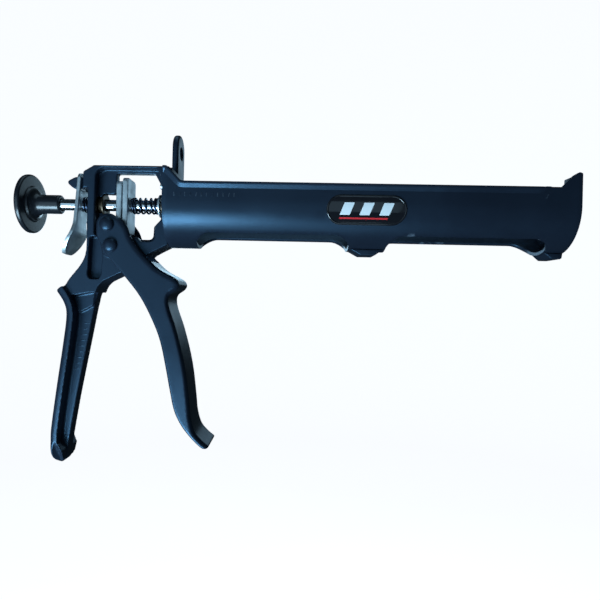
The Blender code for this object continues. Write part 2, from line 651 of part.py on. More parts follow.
def make_rod(steel, zinc, plastic):
    hub_rear = PISTON_FACE - PISTON_THICK - PISTON_HUB_LENGTH
    rod_rear = KNOB_REAR + KNOB_WALL + GAP
    rod_front = PISTON_FACE - PISTON_THICK - 2 * GAP
    rod = solid("thrust_rod", turned([(rod_rear, 0), (rod_rear, ROD_RADIUS - 0.5),
                                      (rod_rear + 0.5, ROD_RADIUS), (rod_front, ROD_RADIUS),
                                      (rod_front, 0)]), steel)
    pin_centre = (KNOB_PIN_PLACE, 0.0, 0.0)
    cut_from(rod, "pin_hole", cylinder(KNOB_PIN_RADIUS + GAP, -CUT_REACH, CUT_REACH, "Y",
                                    pin_centre, 12))
    front = KNOB_REAR + KNOB_RIM_THICK
    bore = ROD_RADIUS + GAP
    flare = [(front + 1.2 + (1.0 - math.cos(angle)) * 5.0,
              KNOB_HUB_RADIUS + (KNOB_FLARE_RADIUS - KNOB_HUB_RADIUS) * (1.0 - math.sin(angle)))
             for angle in (0.0, 0.45, 0.9, 1.3)]
    profile = [(KNOB_REAR, 0), (KNOB_REAR, KNOB_RADIUS - 1.2), (KNOB_REAR + 0.8, KNOB_RADIUS),
               (front - 0.8, KNOB_RADIUS), (front, KNOB_RADIUS - 1.2), *flare,
               (front + 9.0, KNOB_HUB_RADIUS), (KNOB_HUB_FRONT - 1.5, KNOB_HUB_RADIUS),
               (KNOB_HUB_FRONT, KNOB_HUB_RADIUS - 1.2), (KNOB_HUB_FRONT, bore),
               (KNOB_REAR + KNOB_WALL, bore), (KNOB_REAR + KNOB_WALL, 0)]
    knob = solid("pull_knob", turned(profile, segments=40), plastic)
    cut_from(knob, "pin_hole", cylinder(KNOB_PIN_RADIUS + GAP, -CUT_REACH, CUT_REACH, "Y",
                                    pin_centre, 12))
    reach = KNOB_HUB_RADIUS - 0.4
    solid("knob_pin", cylinder(KNOB_PIN_RADIUS, -reach, reach, "Y", pin_centre, 12), steel)
    face_rear = PISTON_FACE - PISTON_THICK
    disc = [(PISTON_FACE, 0), (PISTON_FACE, PISTON_RADIUS - 0.8),
            (PISTON_FACE - 0.8, PISTON_RADIUS), (face_rear, PISTON_RADIUS),
            (face_rear, PISTON_HUB_RADIUS), (hub_rear, PISTON_HUB_RADIUS), (hub_rear, bore),
            (rod_front + GAP, bore), (rod_front + GAP, 0)]
    solid("piston_disc", turned(disc, segments=32), zinc)
    washer_rear = hub_rear - GAP - WASHER_THICK
    solid("piston_washer", sleeve(bore, PISTON_HUB_RADIUS + 1.0, washer_rear, hub_rear - GAP), zinc)
    nut_front = washer_rear - GAP
    corner = NUT_ACROSS_FLATS / math.sqrt(3.0)
    nut = solid("piston_nut", turned([(nut_front - NUT_THICK, 0), (nut_front - NUT_THICK, corner),
                                      (nut_front, corner), (nut_front, 0)], segments=6), zinc)
    cut_from(nut, "bore", cylinder(bore, nut_front - 20.0, nut_front + 10.0))


# ---------------------------------------------------------------- release lever

def lever_line():
    """Middle of the bent plate in X and Z, from its top to the end of the pad."""
    lean = math.tan(LEVER_LEAN)
    top = (LEVER_AT_ROD + LEVER_TOP * lean, LEVER_TOP)
    bend = (LEVER_AT_ROD + LEVER_BEND * lean, LEVER_BEND)
    end = (bend[0] - PAD_LENGTH * math.sin(PAD_SLOPE), bend[1] - PAD_LENGTH * math.cos(PAD_SLOPE))
    return top, bend, end


def make_release_lever(finish):
    top, bend, end = lever_line()
    bend_round = smooth_path([top, (top[0] + (bend[0] - top[0]) * 0.9, bend[1] * 0.8),
                              (bend[0] - 0.4, bend[1] - 1.0), end], 3)
    outline = (offset_path(bend_round, LEVER_THICK / 2)
               + offset_path(bend_round, -LEVER_THICK / 2)[::-1])
    hook = (LEVER_AT_ROD, 0.0, (NOSE_TOP + NOSE_BOTTOM) / 2)
    lever = solid("release_lever", side_prism(outline, LEVER_HALF_WIDTH), finish, hook)
    half = LEVER_HALF_WIDTH
    low = end[1] + half - 1.0
    front_view = [(-half - 2.0, low), *arc((0.0, low), half - 0.01, 180.0, 360.0, 16),
                  (half + 2.0, low), (half + 2.0, LEVER_TOP - 4.0),
                  *arc((half - 3.0, LEVER_TOP - 3.4), 3.0, 0.0, 90.0, 4),
                  *arc((-half + 3.0, LEVER_TOP - 3.4), 3.0, 90.0, 180.0, 4),
                  (-half - 2.0, LEVER_TOP - 4.0)]
    trim = solid("release_lever_trim", prism(front_view, -90.0, -40.0, "X"))
    boolean(lever, "INTERSECT", trim)
    cut_from(lever, "rod_hole", cylinder(ROD_RADIUS + LEVER_ROD_CLEARANCE, -80.0, -40.0))
    half_slot = NOSE_HALF_WIDTH + NOSE_CLEARANCE
    low, high = NOSE_BOTTOM - NOSE_CLEARANCE, NOSE_TOP + NOSE_CLEARANCE
    slot = rounded([(-half_slot, low, 0.8), (half_slot, low, 0.8), (half_slot, high, 0.8),
                    (-half_slot, high, 0.8)], 2)
    cut_from(lever, "nose_slot", prism(slot, -80.0, -40.0, "X"))


# ---------------------------------------------------------------- bushes, springs and screws

def make_bushes(finish):
    def collared(name, low, high):
        profile = [(low, BUSH_BORE), (low, BUSH_RADIUS), (high, BUSH_RADIUS),
                   (high, COLLAR_RADIUS), (high + COLLAR_THICK, COLLAR_RADIUS),
                   (high + COLLAR_THICK, BUSH_BORE)]
        solid(name, turned(profile), finish)
    collared("front_rod_bush", FLANGE_REAR + GAP, BULKHEAD_THICK + GAP)
    collared("rear_rod_bush", UPRIGHT_REAR + GAP, UPRIGHT_FRONT + GAP)


def make_springs(finish, steel):
    seat_front = FLANGE_REAR - GAP
    seat_rear = seat_front - WASHER_THICK
    solid("spring_seat", sleeve(BUSH_BORE, COLLAR_RADIUS, seat_rear, seat_front), steel)
    solid("return_spring", coil(RETURN_SPRING_RADIUS, RETURN_WIRE_RADIUS, PLATES_FRONT + GAP,
                                seat_rear - GAP, RETURN_TURNS, 1.5), finish)
    reach = RELEASE_SPRING_RADIUS + RELEASE_WIRE_RADIUS
    lever_face = LEVER_AT_ROD + LEVER_THICK / 2 + reach * math.tan(LEVER_LEAN)
    solid("release_spring", coil(RELEASE_SPRING_RADIUS, RELEASE_WIRE_RADIUS, lever_face + GAP,
                                 UPRIGHT_REAR - GAP, RELEASE_TURNS, 0.5), finish)


def make_screws(finish):
    washer_low = BULKHEAD_THICK + GAP
    head_low = washer_low + WASHER_THICK + GAP
    head_high = head_low + SCREW_HEAD_THICK
    for number, (y, z) in enumerate(SCREW_PLACES):
        place = (0.0, y, z)
        washer = [(washer_low, SCREW_RADIUS + GAP), (washer_low, SCREW_WASHER_RADIUS),
                  (washer_low + WASHER_THICK, SCREW_WASHER_RADIUS),
                  (washer_low + WASHER_THICK, SCREW_RADIUS + GAP)]
        solid("screw_washer_%d" % (number + 1), turned(washer, "X", place, 16), finish)
        screw = [(FLANGE_REAR + GAP, 0), (FLANGE_REAR + GAP, SCREW_RADIUS),
                 (head_low, SCREW_RADIUS), (head_low, SCREW_HEAD_RADIUS),
                 (head_high - 0.8, SCREW_HEAD_RADIUS), (head_high, SCREW_HEAD_RADIUS - 1.0),
                 (head_high, 0)]
        solid("cradle_screw_%d" % (number + 1), turned(screw, "X", place, 14), finish)


# ---------------------------------------------------------------- the whole gun

def main():
    clear_scene()
    datum = bpy.data.objects.new("datum", None)
    datum.location = (-PISTON_FACE * MM, 0.0, 0.0)
    bpy.context.collection.objects.link(datum)
    black_paint = material("black_paint", (0.012, 0.016, 0.026), 0.35, 0.0)
    black_plastic = material("black_plastic", (0.01, 0.01, 0.014), 0.2, 0.0)
    badge_black = material("badge_black", (0.008, 0.008, 0.01), 0.12, 0.0)
    zinc = material("zinc_plate", (0.62, 0.68, 0.72), 0.3, 1.0)
    bright_steel = material("bright_steel", (0.7, 0.72, 0.74), 0.2, 1.0)
    blued_steel = material("blued_steel", (0.05, 0.06, 0.09), 0.3, 1.0)
    make_cradle(black_paint)
    make_badges(badge_black)
    make_frame(black_paint)
    make_trigger(black_paint)
    make_drive(zinc, black_paint)
    make_rod(bright_steel, zinc, black_plastic)
    make_release_lever(zinc)
    make_bushes(bright_steel)
    make_springs(blued_steel, zinc)
    make_screws(zinc)


main()
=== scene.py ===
# %% [markdown]
# # A caulking gun, piece by piece
# This notebook dresses a caulking gun that was already designed as a mechanism. The
# mechanism arrives as plain solids, each in its true place. Every step below makes one piece or
# one finish: what it is on the real tool, how it could be made, and why it is made this way.

# %% Load the mechanism
import math

import bmesh
import bpy
from mathutils import Matrix, Vector
from mathutils.geometry import delaunay_2d_cdt


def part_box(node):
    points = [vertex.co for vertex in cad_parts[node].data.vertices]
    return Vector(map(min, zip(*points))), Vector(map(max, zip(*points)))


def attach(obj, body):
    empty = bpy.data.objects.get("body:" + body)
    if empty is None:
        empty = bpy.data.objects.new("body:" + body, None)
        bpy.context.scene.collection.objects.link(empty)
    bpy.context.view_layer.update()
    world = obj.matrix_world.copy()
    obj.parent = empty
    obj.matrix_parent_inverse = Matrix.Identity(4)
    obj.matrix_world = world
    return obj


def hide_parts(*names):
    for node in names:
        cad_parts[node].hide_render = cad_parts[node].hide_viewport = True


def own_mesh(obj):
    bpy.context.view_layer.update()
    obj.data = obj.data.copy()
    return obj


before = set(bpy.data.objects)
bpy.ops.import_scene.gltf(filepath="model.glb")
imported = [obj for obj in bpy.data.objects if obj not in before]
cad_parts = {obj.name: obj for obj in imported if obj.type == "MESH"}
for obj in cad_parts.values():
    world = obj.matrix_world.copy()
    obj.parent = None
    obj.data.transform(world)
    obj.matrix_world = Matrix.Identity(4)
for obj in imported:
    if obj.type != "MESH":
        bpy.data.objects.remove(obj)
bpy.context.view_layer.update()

# %% [markdown]
# ## Working in the maker's units
# A tool is drawn in millimetres from a handy face, here the rear face of the cradle. Blender's
# scene is in metres from the piston's front face. One small function does the change, so that
# every size below reads like a drawing.

# %% Millimetres from the cradle's rear face
MM = 0.001
cradle_low, cradle_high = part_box("cradle")
REAR_FACE = cradle_low.x / MM
LENGTH = (cradle_high.x - cradle_low.x) / MM


def span(name):
    """Lowest and highest corner of a solid, in millimetres from the rear face."""
    low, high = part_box(name)
    shift = Vector((REAR_FACE, 0.0, 0.0))
    return low / MM - shift, high / MM - shift


print("cradle", round(LENGTH, 1), "mm long, rear face at", round(REAR_FACE, 1))

# %% [markdown]
# ## Camera
# The tool is looked at from its right side, a little below the barrel. A camera can be aimed
# with a tracking constraint, but here its three axes are written out, because the slight roll
# of a hand-held view is then one number.

# %% Camera
CAMERA_PLACE = Vector((-0.1533, -0.300, -0.056))
CAMERA_AHEAD = Vector((-0.033, 1.0, 0.0)).normalized()
CAMERA_ROLL = math.radians(1.4)

lens = bpy.data.cameras.new("camera")
lens.sensor_width = 36.0
lens.lens = 29.4
lens.shift_x = 0.0437
lens.clip_start = 0.01
camera = bpy.data.objects.new("camera", lens)
bpy.context.collection.objects.link(camera)
side = CAMERA_AHEAD.cross(Vector((0.0, 0.0, 1.0))).normalized()
top = side.cross(CAMERA_AHEAD)
right = side * math.cos(CAMERA_ROLL) + top * math.sin(CAMERA_ROLL)
above = top * math.cos(CAMERA_ROLL) - side * math.sin(CAMERA_ROLL)
turn = Matrix((right, above, -CAMERA_AHEAD)).transposed().to_4x4()
camera.matrix_world = Matrix.Translation(CAMERA_PLACE) @ turn
bpy.context.scene.camera = camera
print("camera at", tuple(round(x, 3) for x in CAMERA_PLACE))

# %% [markdown]
# ## Nodes in few lines
# Materials are networks of nodes. Wiring them by hand in code is long, so one helper makes a
# node, sets its options, and fills or links its sockets.

# %% Node helper
def node(tree, kind, sockets=None, **options):
    """Make a node; a socket's value may be a number, a colour or another node's output."""
    made = tree.nodes.new(kind)
    for name, value in options.items():
        setattr(made, name, value)
    for name, value in (sockets or {}).items():
        if isinstance(value, bpy.types.NodeSocket):
            tree.links.new(value, made.inputs[name])
        else:
            made.inputs[name].default_value = value
    return made


print("node helper ready")

# %% [markdown]
# ## Stage
# Product pictures stand on a pale sweep of paper that runs up behind the object with no visible
# corner. A plane would show its horizon, so the sweep is a turned surface: a flat disc that
# curls up all round. It is wide enough to look the same from every side.

# %% Pale floor
FLOOR_LEVEL = -0.62
FLOOR_REACH = 1.7
FLOOR_CURL = 0.9
FLOOR_TOP = 2.4
CURL_STEPS = 12


def make_floor():
    line = [(0.0, FLOOR_LEVEL), (FLOOR_REACH, FLOOR_LEVEL)]
    for step in range(1, CURL_STEPS + 1):
        angle = math.radians(90.0 * step / CURL_STEPS)
        line.append((FLOOR_REACH + FLOOR_CURL * math.sin(angle),
                     FLOOR_LEVEL + FLOOR_CURL * (1.0 - math.cos(angle))))
    line.append((FLOOR_REACH + FLOOR_CURL, FLOOR_TOP))
    shape = bmesh.new()
    corners = [shape.verts.new((reach, 0.0, height)) for reach, height in line]
    edges = [shape.edges.new(pair) for pair in zip(corners, corners[1:])]
    bmesh.ops.spin(shape, geom=corners + edges, cent=(0, 0, 0), axis=(0, 0, 1),
                   angle=math.tau, steps=64, use_merge=True)
    bmesh.ops.remove_doubles(shape, verts=shape.verts, dist=0.0001)
    mesh = bpy.data.meshes.new("floor")
    shape.to_mesh(mesh)
    shape.free()
    mesh.shade_smooth()
    made = bpy.data.objects.new("floor", mesh)
    made.location = (-0.07, 0.0, 0.0)
    bpy.context.collection.objects.link(made)
    return made


floor = make_floor()
paper = bpy.data.materials.new("paper")
paper.use_nodes = True
paper_shader = paper.node_tree.nodes["Principled BSDF"]
paper_shader.inputs["Roughness"].default_value = 0.9
paper_shader.inputs["Emission Color"].default_value = (0.97, 0.985, 1.0, 1.0)
paper_shader.inputs["Emission Strength"].default_value = 0.95
grain = node(paper.node_tree, "ShaderNodeTexNoise", {"Scale": 60.0, "Detail": 6.0})
tone = node(paper.node_tree, "ShaderNodeMix", {0: grain.outputs["Fac"],
                                               6: (0.93, 0.94, 0.95, 1.0),
                                               7: (0.97, 0.97, 0.97, 1.0)}, data_type="RGBA")
paper.node_tree.links.new(tone.outputs[2], paper_shader.inputs["Base Color"])
floor.data.materials.append(paper)
floor.visible_glossy = False
floor.visible_diffuse = False
print("floor", round(-FLOOR_LEVEL * 1000), "mm below the rod")

# %% [markdown]
# ## Light
# Black paint shows nothing but reflections, so the lights draw the shape. A small cool softbox
# low at the front left puts the long pale sheen on the barrel's flank, and weaker ones below
# and in front open the shadows. Two more do the same for the far side, and one overhead lifts
# the rim. Reflections don't see the floor, or the black paint would mirror it. The surroundings
# stay nearly dark, and white only where the camera looks straight at them; a bright dome would
# turn the black paint grey.

# %% World and softboxes
LIGHTS = (
    ("key", (-0.42, -0.36, -0.37), (-0.20, 0.0, -0.02), (0.32, 0.22), 4.8),
    ("low", (-0.20, -0.30, -0.45), (-0.18, 0.0, -0.02), (0.40, 0.25), 0.5),
    ("left_front", (-0.60, -0.70, 0.0), (-0.20, 0.0, -0.03), (0.35, 0.40), 0.5),
    ("front", (-0.15, -0.90, -0.05), (-0.12, 0.0, -0.05), (0.5, 0.4), 0.3),
    ("overhead", (-0.20, -0.05, 0.70), (-0.12, 0.0, 0.0), (0.8, 0.4), 1.0),
    ("far_key", (-0.45, 0.65, 0.05), (-0.18, 0.0, -0.02), (0.45, 0.30), 1.6),
    ("far_front", (0.05, 0.90, 0.20), (-0.12, 0.0, -0.05), (0.6, 0.4), 0.7),
)
DAYLIGHT = (0.52, 0.80, 1.0)
world = bpy.data.worlds.new("studio")
world.use_nodes = True
bpy.context.scene.world = world
air = world.node_tree
air.nodes.clear()
seen = node(air, "ShaderNodeLightPath")
dim = node(air, "ShaderNodeBackground", {"Color": (*DAYLIGHT, 1.0), "Strength": 0.03})
white = node(air, "ShaderNodeBackground", {"Color": (1.0, 1.0, 1.0, 1.0), "Strength": 1.0})
pick = node(air, "ShaderNodeMixShader", {0: seen.outputs["Is Camera Ray"],
                                         1: dim.outputs[0], 2: white.outputs[0]})
node(air, "ShaderNodeOutputWorld", {"Surface": pick.outputs[0]})
for name, place, aim, size, power in LIGHTS:
    lamp = bpy.data.lights.new(name, "AREA")
    lamp.shape = "RECTANGLE"
    lamp.size, lamp.size_y = size
    lamp.energy = power
    lamp.color = DAYLIGHT
    holder = bpy.data.objects.new(name, lamp)
    holder.location = place
    holder.rotation_euler = (Vector(aim) - Vector(place)).to_track_quat("-Z", "Y").to_euler()
    holder.visible_camera = False
    bpy.context.collection.objects.link(holder)
bpy.context.scene.view_settings.view_transform = "Standard"
print("lights:", ", ".join(row[0] for row in LIGHTS))

# %% [markdown]
# ## Shared surface effects
# Paint, steel and plastic all gather wear on their edges and a little dust on top. Such an
# effect is built once as a node group with its own inputs, then placed in each material with
# other values. Copying the nodes into every material would work too, but a mistake would then
# have to be mended many times. The shader itself stays outside, in the material.

# %% Group helpers
def node_group(name, inputs, outputs):
    """A shader node group; inputs are labels with values, outputs are labels."""
    tree = bpy.data.node_groups.new(name, "ShaderNodeTree")
    for label, value in inputs.items():
        socket = tree.interface.new_socket(label, in_out="INPUT", socket_type="NodeSocketFloat")
        socket.default_value = value
    for label in outputs:
        tree.interface.new_socket(label, in_out="OUTPUT", socket_type="NodeSocketFloat")
    return tree, tree.nodes.new("NodeGroupInput").outputs


def end_group(tree, **results):
    """Link each result to the group's output of the same name."""
    out = tree.nodes.new("NodeGroupOutput")
    for name, value in results.items():
        tree.links.new(value, out.inputs[name])
    print("made", tree.name)
    return tree


def object_place(tree):
    return node(tree, "ShaderNodeTexCoord").outputs["Object"]


def noise(tree, place, scale, detail, roughness=0.5, distortion=0.0):
    return node(tree, "ShaderNodeTexNoise", {
        "Vector": place, "Scale": scale, "Detail": detail, "Roughness": roughness,
        "Distortion": distortion}).outputs["Fac"]


def remapped(tree, value, low, high, to_low=0.0, to_high=1.0):
    """The range from low to high stretched over another range, and held at its ends."""
    return node(tree, "ShaderNodeMapRange", {
        "Value": value, "From Min": low, "From Max": high, "To Min": to_low,
        "To Max": to_high}).outputs[0]


def maths(tree, operation, first, second):
    return node(tree, "ShaderNodeMath", {0: first, 1: second}, operation=operation).outputs[0]


print("group helpers ready")

# %% [markdown]
# ### Worn edges
# Hands and tools rub the paint off sharp edges first. The geometry node's pointiness says how
# sharp each place is; a noise breaks the line up so that it looks rubbed and not drawn.

# %% Edge wear group
WEAR_RISE = 0.06


def make_edge_wear():
    tree, given = node_group("edge_wear", {"Amount": 0.5, "Start": 0.53, "Scale": 300.0},
                             ["Mask"])
    pointed = node(tree, "ShaderNodeNewGeometry").outputs["Pointiness"]
    stop = maths(tree, "ADD", given["Start"], WEAR_RISE)
    sharp = remapped(tree, pointed, given["Start"], stop)
    patches = noise(tree, object_place(tree), given["Scale"], 8.0, 0.65)
    broken = remapped(tree, patches, 0.42, 0.62)
    both = maths(tree, "MULTIPLY", sharp, broken)
    return end_group(tree, Mask=maths(tree, "MULTIPLY", both, given["Amount"]))


EDGE_WEAR = make_edge_wear()

# %% [markdown]
# ### Paint skin
# Sprayed paint is never flat: it has an orange-peel ripple about two millimetres long, fine
# specks, and duller patches where it was handled. The group puts out a height for a bump, a
# roughness and a tone, each from noise at its own scale.

# %% Paint skin group
def make_paint_skin():
    tree, given = node_group("paint_skin", {"Ripple": 500.0, "Smooth": 0.28, "Dull": 0.42},
                             ["Tone", "Roughness", "Height"])
    place = object_place(tree)
    smudge = noise(tree, place, 28.0, 5.0, 0.6, 0.4)
    ripple = noise(tree, place, given["Ripple"], 2.0, 0.4)
    speck = maths(tree, "MULTIPLY", noise(tree, place, 2600.0, 2.0), 0.25)
    return end_group(tree, Tone=smudge, Height=maths(tree, "ADD", ripple, speck),
                     Roughness=remapped(tree, smudge, 0.3, 0.7, given["Smooth"],
                                        given["Dull"]))


PAINT_SKIN = make_paint_skin()

# %% [markdown]
# ### Drawn metal
# Rod and plates are pulled or rolled, which leaves fine parallel lines. A noise stretched along
# one direction gives such lines. Long ones make the height, and a second, broader noise makes
# the slightly uneven brightness of plated or rubbed metal.

# %% Drawn metal group
def make_drawn_lines():
    tree, given = node_group("drawn_lines", {"Along X": 40.0, "Across": 3000.0, "Low": 0.15,
                                             "High": 0.35}, ["Tone", "Roughness", "Height"])
    place = object_place(tree)
    stretch = node(tree, "ShaderNodeCombineXYZ", {"X": given["Along X"], "Y": given["Across"],
                                                  "Z": given["Across"]})
    pulled = node(tree, "ShaderNodeVectorMath", {0: place, 1: stretch.outputs[0]},
                  operation="MULTIPLY")
    lines = noise(tree, pulled.outputs[0], 1.0, 4.0, 0.6)
    cloud = noise(tree, place, 180.0, 4.0)
    return end_group(tree, Tone=maths(tree, "MULTIPLY", lines, cloud), Height=lines,
                     Roughness=remapped(tree, cloud, 0.3, 0.7, given["Low"], given["High"]))


DRAWN_LINES = make_drawn_lines()

# %% [markdown]
# ### Dust
# Dust settles where a surface looks up, and a fine noise keeps it patchy. It is only a mask;
# each material mixes its own pale colour in with it.

# %% Dust group
def make_dust():
    tree, given = node_group("dust", {"Amount": 0.2}, ["Mask"])
    normal = node(tree, "ShaderNodeNewGeometry").outputs["Normal"]
    facing = node(tree, "ShaderNodeSeparateXYZ", {0: normal})
    up = remapped(tree, facing.outputs["Z"], 0.2, 1.0)
    grains = noise(tree, object_place(tree), 220.0, 9.0, 0.75)
    both = maths(tree, "MULTIPLY", up, remapped(tree, grains, 0.45, 0.75))
    return end_group(tree, Mask=maths(tree, "MULTIPLY", both, given["Amount"]))


DUST = make_dust()

# %% [markdown]
# ## Materials
# Each finish is one material with a Principled BSDF. What is the same all over, such as the
# metallic value or the coat, is set on the shader. What changes over the surface comes from the
# groups. One function builds the network for every painted, moulded or metal finish.

# %% Material builder
def mixed(tree, factor, first, second):
    """A colour between two others; a colour mix has its own sockets, from the sixth on."""
    return node(tree, "ShaderNodeMix", {0: factor, 6: first, 7: second},
                data_type="RGBA").outputs[2]


def placed(tree, group, **values):
    """A node group with its own values; underscores stand for spaces in the labels."""
    made = node(tree, "ShaderNodeGroup", node_tree=group)
    for label, value in values.items():
        made.inputs[label.replace("_", " ")].default_value = value
    return made.outputs


DUST_COLOUR = (0.30, 0.31, 0.32, 1.0)


def finish(name, skin, dark, light, bump, shader_values, wear=None, worn=None, dust=0.0):
    """A material from a skin group, two tones, a bump distance and fixed shader values."""
    made = bpy.data.materials.new(name)
    made.use_nodes = True
    tree = made.node_tree
    shader = tree.nodes["Principled BSDF"]
    for label, value in shader_values.items():
        shader.inputs[label].default_value = value
    surface = placed(tree, skin[0], **skin[1])
    colour = mixed(tree, surface["Tone"], (*dark, 1.0), (*light, 1.0))
    if wear:
        mask = placed(tree, EDGE_WEAR, **wear)["Mask"]
        colour = mixed(tree, mask, colour, worn)
    if dust:
        colour = mixed(tree, placed(tree, DUST, Amount=dust)["Mask"], colour, DUST_COLOUR)
    tree.links.new(colour, shader.inputs["Base Color"])
    tree.links.new(surface["Roughness"], shader.inputs["Roughness"])
    bumps = node(tree, "ShaderNodeBump", {"Height": surface["Height"], "Distance": bump,
                                          "Strength": 0.5})
    tree.links.new(bumps.outputs["Normal"], shader.inputs["Normal"])
    return made


print("material builder ready")

# %% [markdown]
# ### Black paint
# The cradle, the casting and the trigger share a semi-gloss black with a touch of navy. Most of
# what is seen of a black finish is its gloss, so the blue is put in the specular tint; a bluer
# base colour would hardly show. Where an edge is rubbed, the aluminium shows as dull grey.

# %% Black paint
black_paint = finish(
    "black_paint", (PAINT_SKIN, {"Ripple": 420.0, "Smooth": 0.30, "Dull": 0.42}),
    (0.008, 0.011, 0.019), (0.013, 0.018, 0.030), 0.00006,
    {"Specular Tint": (0.34, 0.66, 1.0, 1.0), "Specular IOR Level": 0.55},
    {"Amount": 0.5, "Start": 0.565, "Scale": 420.0}, (0.16, 0.20, 0.25, 1.0), 0.10)
print("made", black_paint.name)

# %% [markdown]
# ### Knob plastic and badge
# The pull knob is moulded in glossy black plastic, smoother than paint. The badge is a gloss
# label with white and red print. All use the paint skin with a finer ripple.

# %% Plastics and print
knob_plastic = finish(
    "knob_plastic", (PAINT_SKIN, {"Ripple": 700.0, "Smooth": 0.26, "Dull": 0.40}),
    (0.007, 0.009, 0.013), (0.012, 0.014, 0.019), 0.00003,
    {"Coat Weight": 0.2, "Coat Roughness": 0.1}, {"Amount": 0.3, "Start": 0.54, "Scale": 500.0},
    (0.09, 0.10, 0.12, 1.0), 0.12)
badge_gloss = finish(
    "badge_gloss", (PAINT_SKIN, {"Ripple": 300.0, "Smooth": 0.06, "Dull": 0.14}),
    (0.006, 0.006, 0.008), (0.010, 0.010, 0.013), 0.00002, {"Coat Weight": 0.6})
print_white = finish(
    "print_white", (PAINT_SKIN, {"Ripple": 900.0, "Smooth": 0.25, "Dull": 0.35}),
    (0.74, 0.76, 0.78), (0.86, 0.87, 0.88), 0.00001, {"Coat Weight": 0.4})
print_red = finish(
    "print_red", (PAINT_SKIN, {"Ripple": 900.0, "Smooth": 0.25, "Dull": 0.35}),
    (0.62, 0.015, 0.02), (0.78, 0.03, 0.04), 0.00001, {"Coat Weight": 0.4})
print("made", knob_plastic.name, badge_gloss.name, print_white.name, print_red.name)

# %% [markdown]
# ### Metals
# Four metals: the bright drawn rod, zinc plate on the plates and lever, dark blued spring wire
# and oily bronze bushes. They differ in colour, in how long their lines are, and in how rough
# they are.

# %% Metals
METAL = {"Metallic": 1.0}
bright_steel = finish(
    "bright_steel", (DRAWN_LINES, {"Along_X": 30.0, "Across": 2600.0, "Low": 0.14,
                                   "High": 0.26}),
    (0.50, 0.54, 0.58), (0.86, 0.90, 0.94), 0.00004, METAL)
zinc_plate = finish(
    "zinc_plate", (DRAWN_LINES, {"Along_X": 900.0, "Across": 700.0, "Low": 0.38,
                                 "High": 0.55}),
    (0.62, 0.70, 0.75), (0.90, 0.95, 0.98), 0.00005, METAL,
    {"Amount": 0.5, "Start": 0.53, "Scale": 600.0}, (0.80, 0.84, 0.88, 1.0))
blued_steel = finish(
    "blued_steel", (DRAWN_LINES, {"Along_X": 500.0, "Across": 500.0, "Low": 0.16,
                                  "High": 0.30}),
    (0.05, 0.07, 0.11), (0.16, 0.22, 0.32), 0.00003, METAL)
bronze = finish(
    "bronze", (DRAWN_LINES, {"Along_X": 700.0, "Across": 700.0, "Low": 0.30, "High": 0.48}),
    (0.05, 0.04, 0.03), (0.17, 0.12, 0.08), 0.00004, METAL)
print("made", bright_steel.name, zinc_plate.name, blued_steel.name, bronze.name)

# %% [markdown]
# ## Drawing outlines
# Most pieces of a hand tool begin as an outline on flat stock: a plate is cut, a casting is
# drawn from the side. These functions make such outlines from a few sizes: arcs, rounded
# corners, and smooth curves through points, which a curve object could give as well, but plain
# lists of points are easier to offset and to stack.

# %% Outline helpers
def arc(centre, radius, start, end, steps):
    """Points on an arc, angles in degrees."""
    return [(centre[0] + radius * math.cos(math.radians(start + (end - start) * k / steps)),
             centre[1] + radius * math.sin(math.radians(start + (end - start) * k / steps)))
            for k in range(steps + 1)]


def rounded(corners, steps=6):
    """A closed outline from (x, z, radius) corners."""
    points = []
    for number, (x, z, radius) in enumerate(corners):
        here = Vector((x, z))
        if radius == 0:
            points.append((x, z))
            continue
        back = (Vector(corners[number - 1][:2]) - here).normalized()
        ahead = (Vector(corners[(number + 1) % len(corners)][:2]) - here).normalized()
        half = back.angle(ahead) / 2
        centre = here + (back + ahead).normalized() * (radius / math.sin(half))
        first = here + back * (radius / math.tan(half)) - centre
        last = here + ahead * (radius / math.tan(half)) - centre
        start = math.degrees(math.atan2(first.y, first.x))
        turn = (math.degrees(math.atan2(last.y, last.x)) - start + 180.0) % 360.0 - 180.0
        points += arc(centre, radius, start, start + turn, steps)
    return points


def smooth_path(points, steps=6):
    """An open Catmull-Rom curve through the points."""
    known = [Vector(point) for point in points]
    padded = [2 * known[0] - known[1], *known, 2 * known[-1] - known[-2]]
    path = []
    for number in range(1, len(padded) - 2):
        before, start, end, after = padded[number - 1:number + 3]
        for step in range(steps):
            t = step / steps
            path.append(0.5 * (2 * start + (end - before) * t
                               + (2 * before - 5 * start + 4 * end - after) * t ** 2
                               + (3 * start - before - 3 * end + after) * t ** 3))
    path.append(known[-1])
    return [tuple(point) for point in path]


def offset_path(points, distance):
    """The open path moved to its right."""
    moved = []
    for number, point in enumerate(points):
        before = Vector(points[max(number - 1, 0)])
        after = Vector(points[min(number + 1, len(points) - 1)])
        along = (after - before).normalized()
        moved.append((point[0] + along.y * distance, point[1] - along.x * distance))
    return moved


def u_outline(radius, top, steps=48):
    """A half round with straight walls up to the top, in Y and Z."""
    return [(-radius, top), *arc((0.0, 0.0), radius, 180.0, 360.0, steps), (radius, top)]


def stadium(length, height, centre, steps=24):
    """A bar with two round ends."""
    reach = (length - height) / 2
    return [*arc((centre[0] + reach, centre[1]), height / 2, -90.0, 90.0, steps),
            *arc((centre[0] - reach, centre[1]), height / 2, 90.0, 270.0, steps)]


def spaced(points, step):
    """A closed outline with a point at least every step."""
    dense = []
    for first, second in zip(points, points[1:] + points[:1]):
        parts = max(1, math.ceil(math.dist(first, second) / step))
        dense += [(first[0] + (second[0] - first[0]) * k / parts,
                   first[1] + (second[1] - first[1]) * k / parts) for k in range(parts)]
    return dense


print("outline helpers ready")

# %% [markdown]
# ## From outlines to bodies
# A stack of rings joined by faces covers nearly every piece here: two rings make a plate, many
# rings round an axis make a turned part, and rings along a curve make a wire. Blender's Screw
# and Skin modifiers do parts of this; one loft function does all of it.

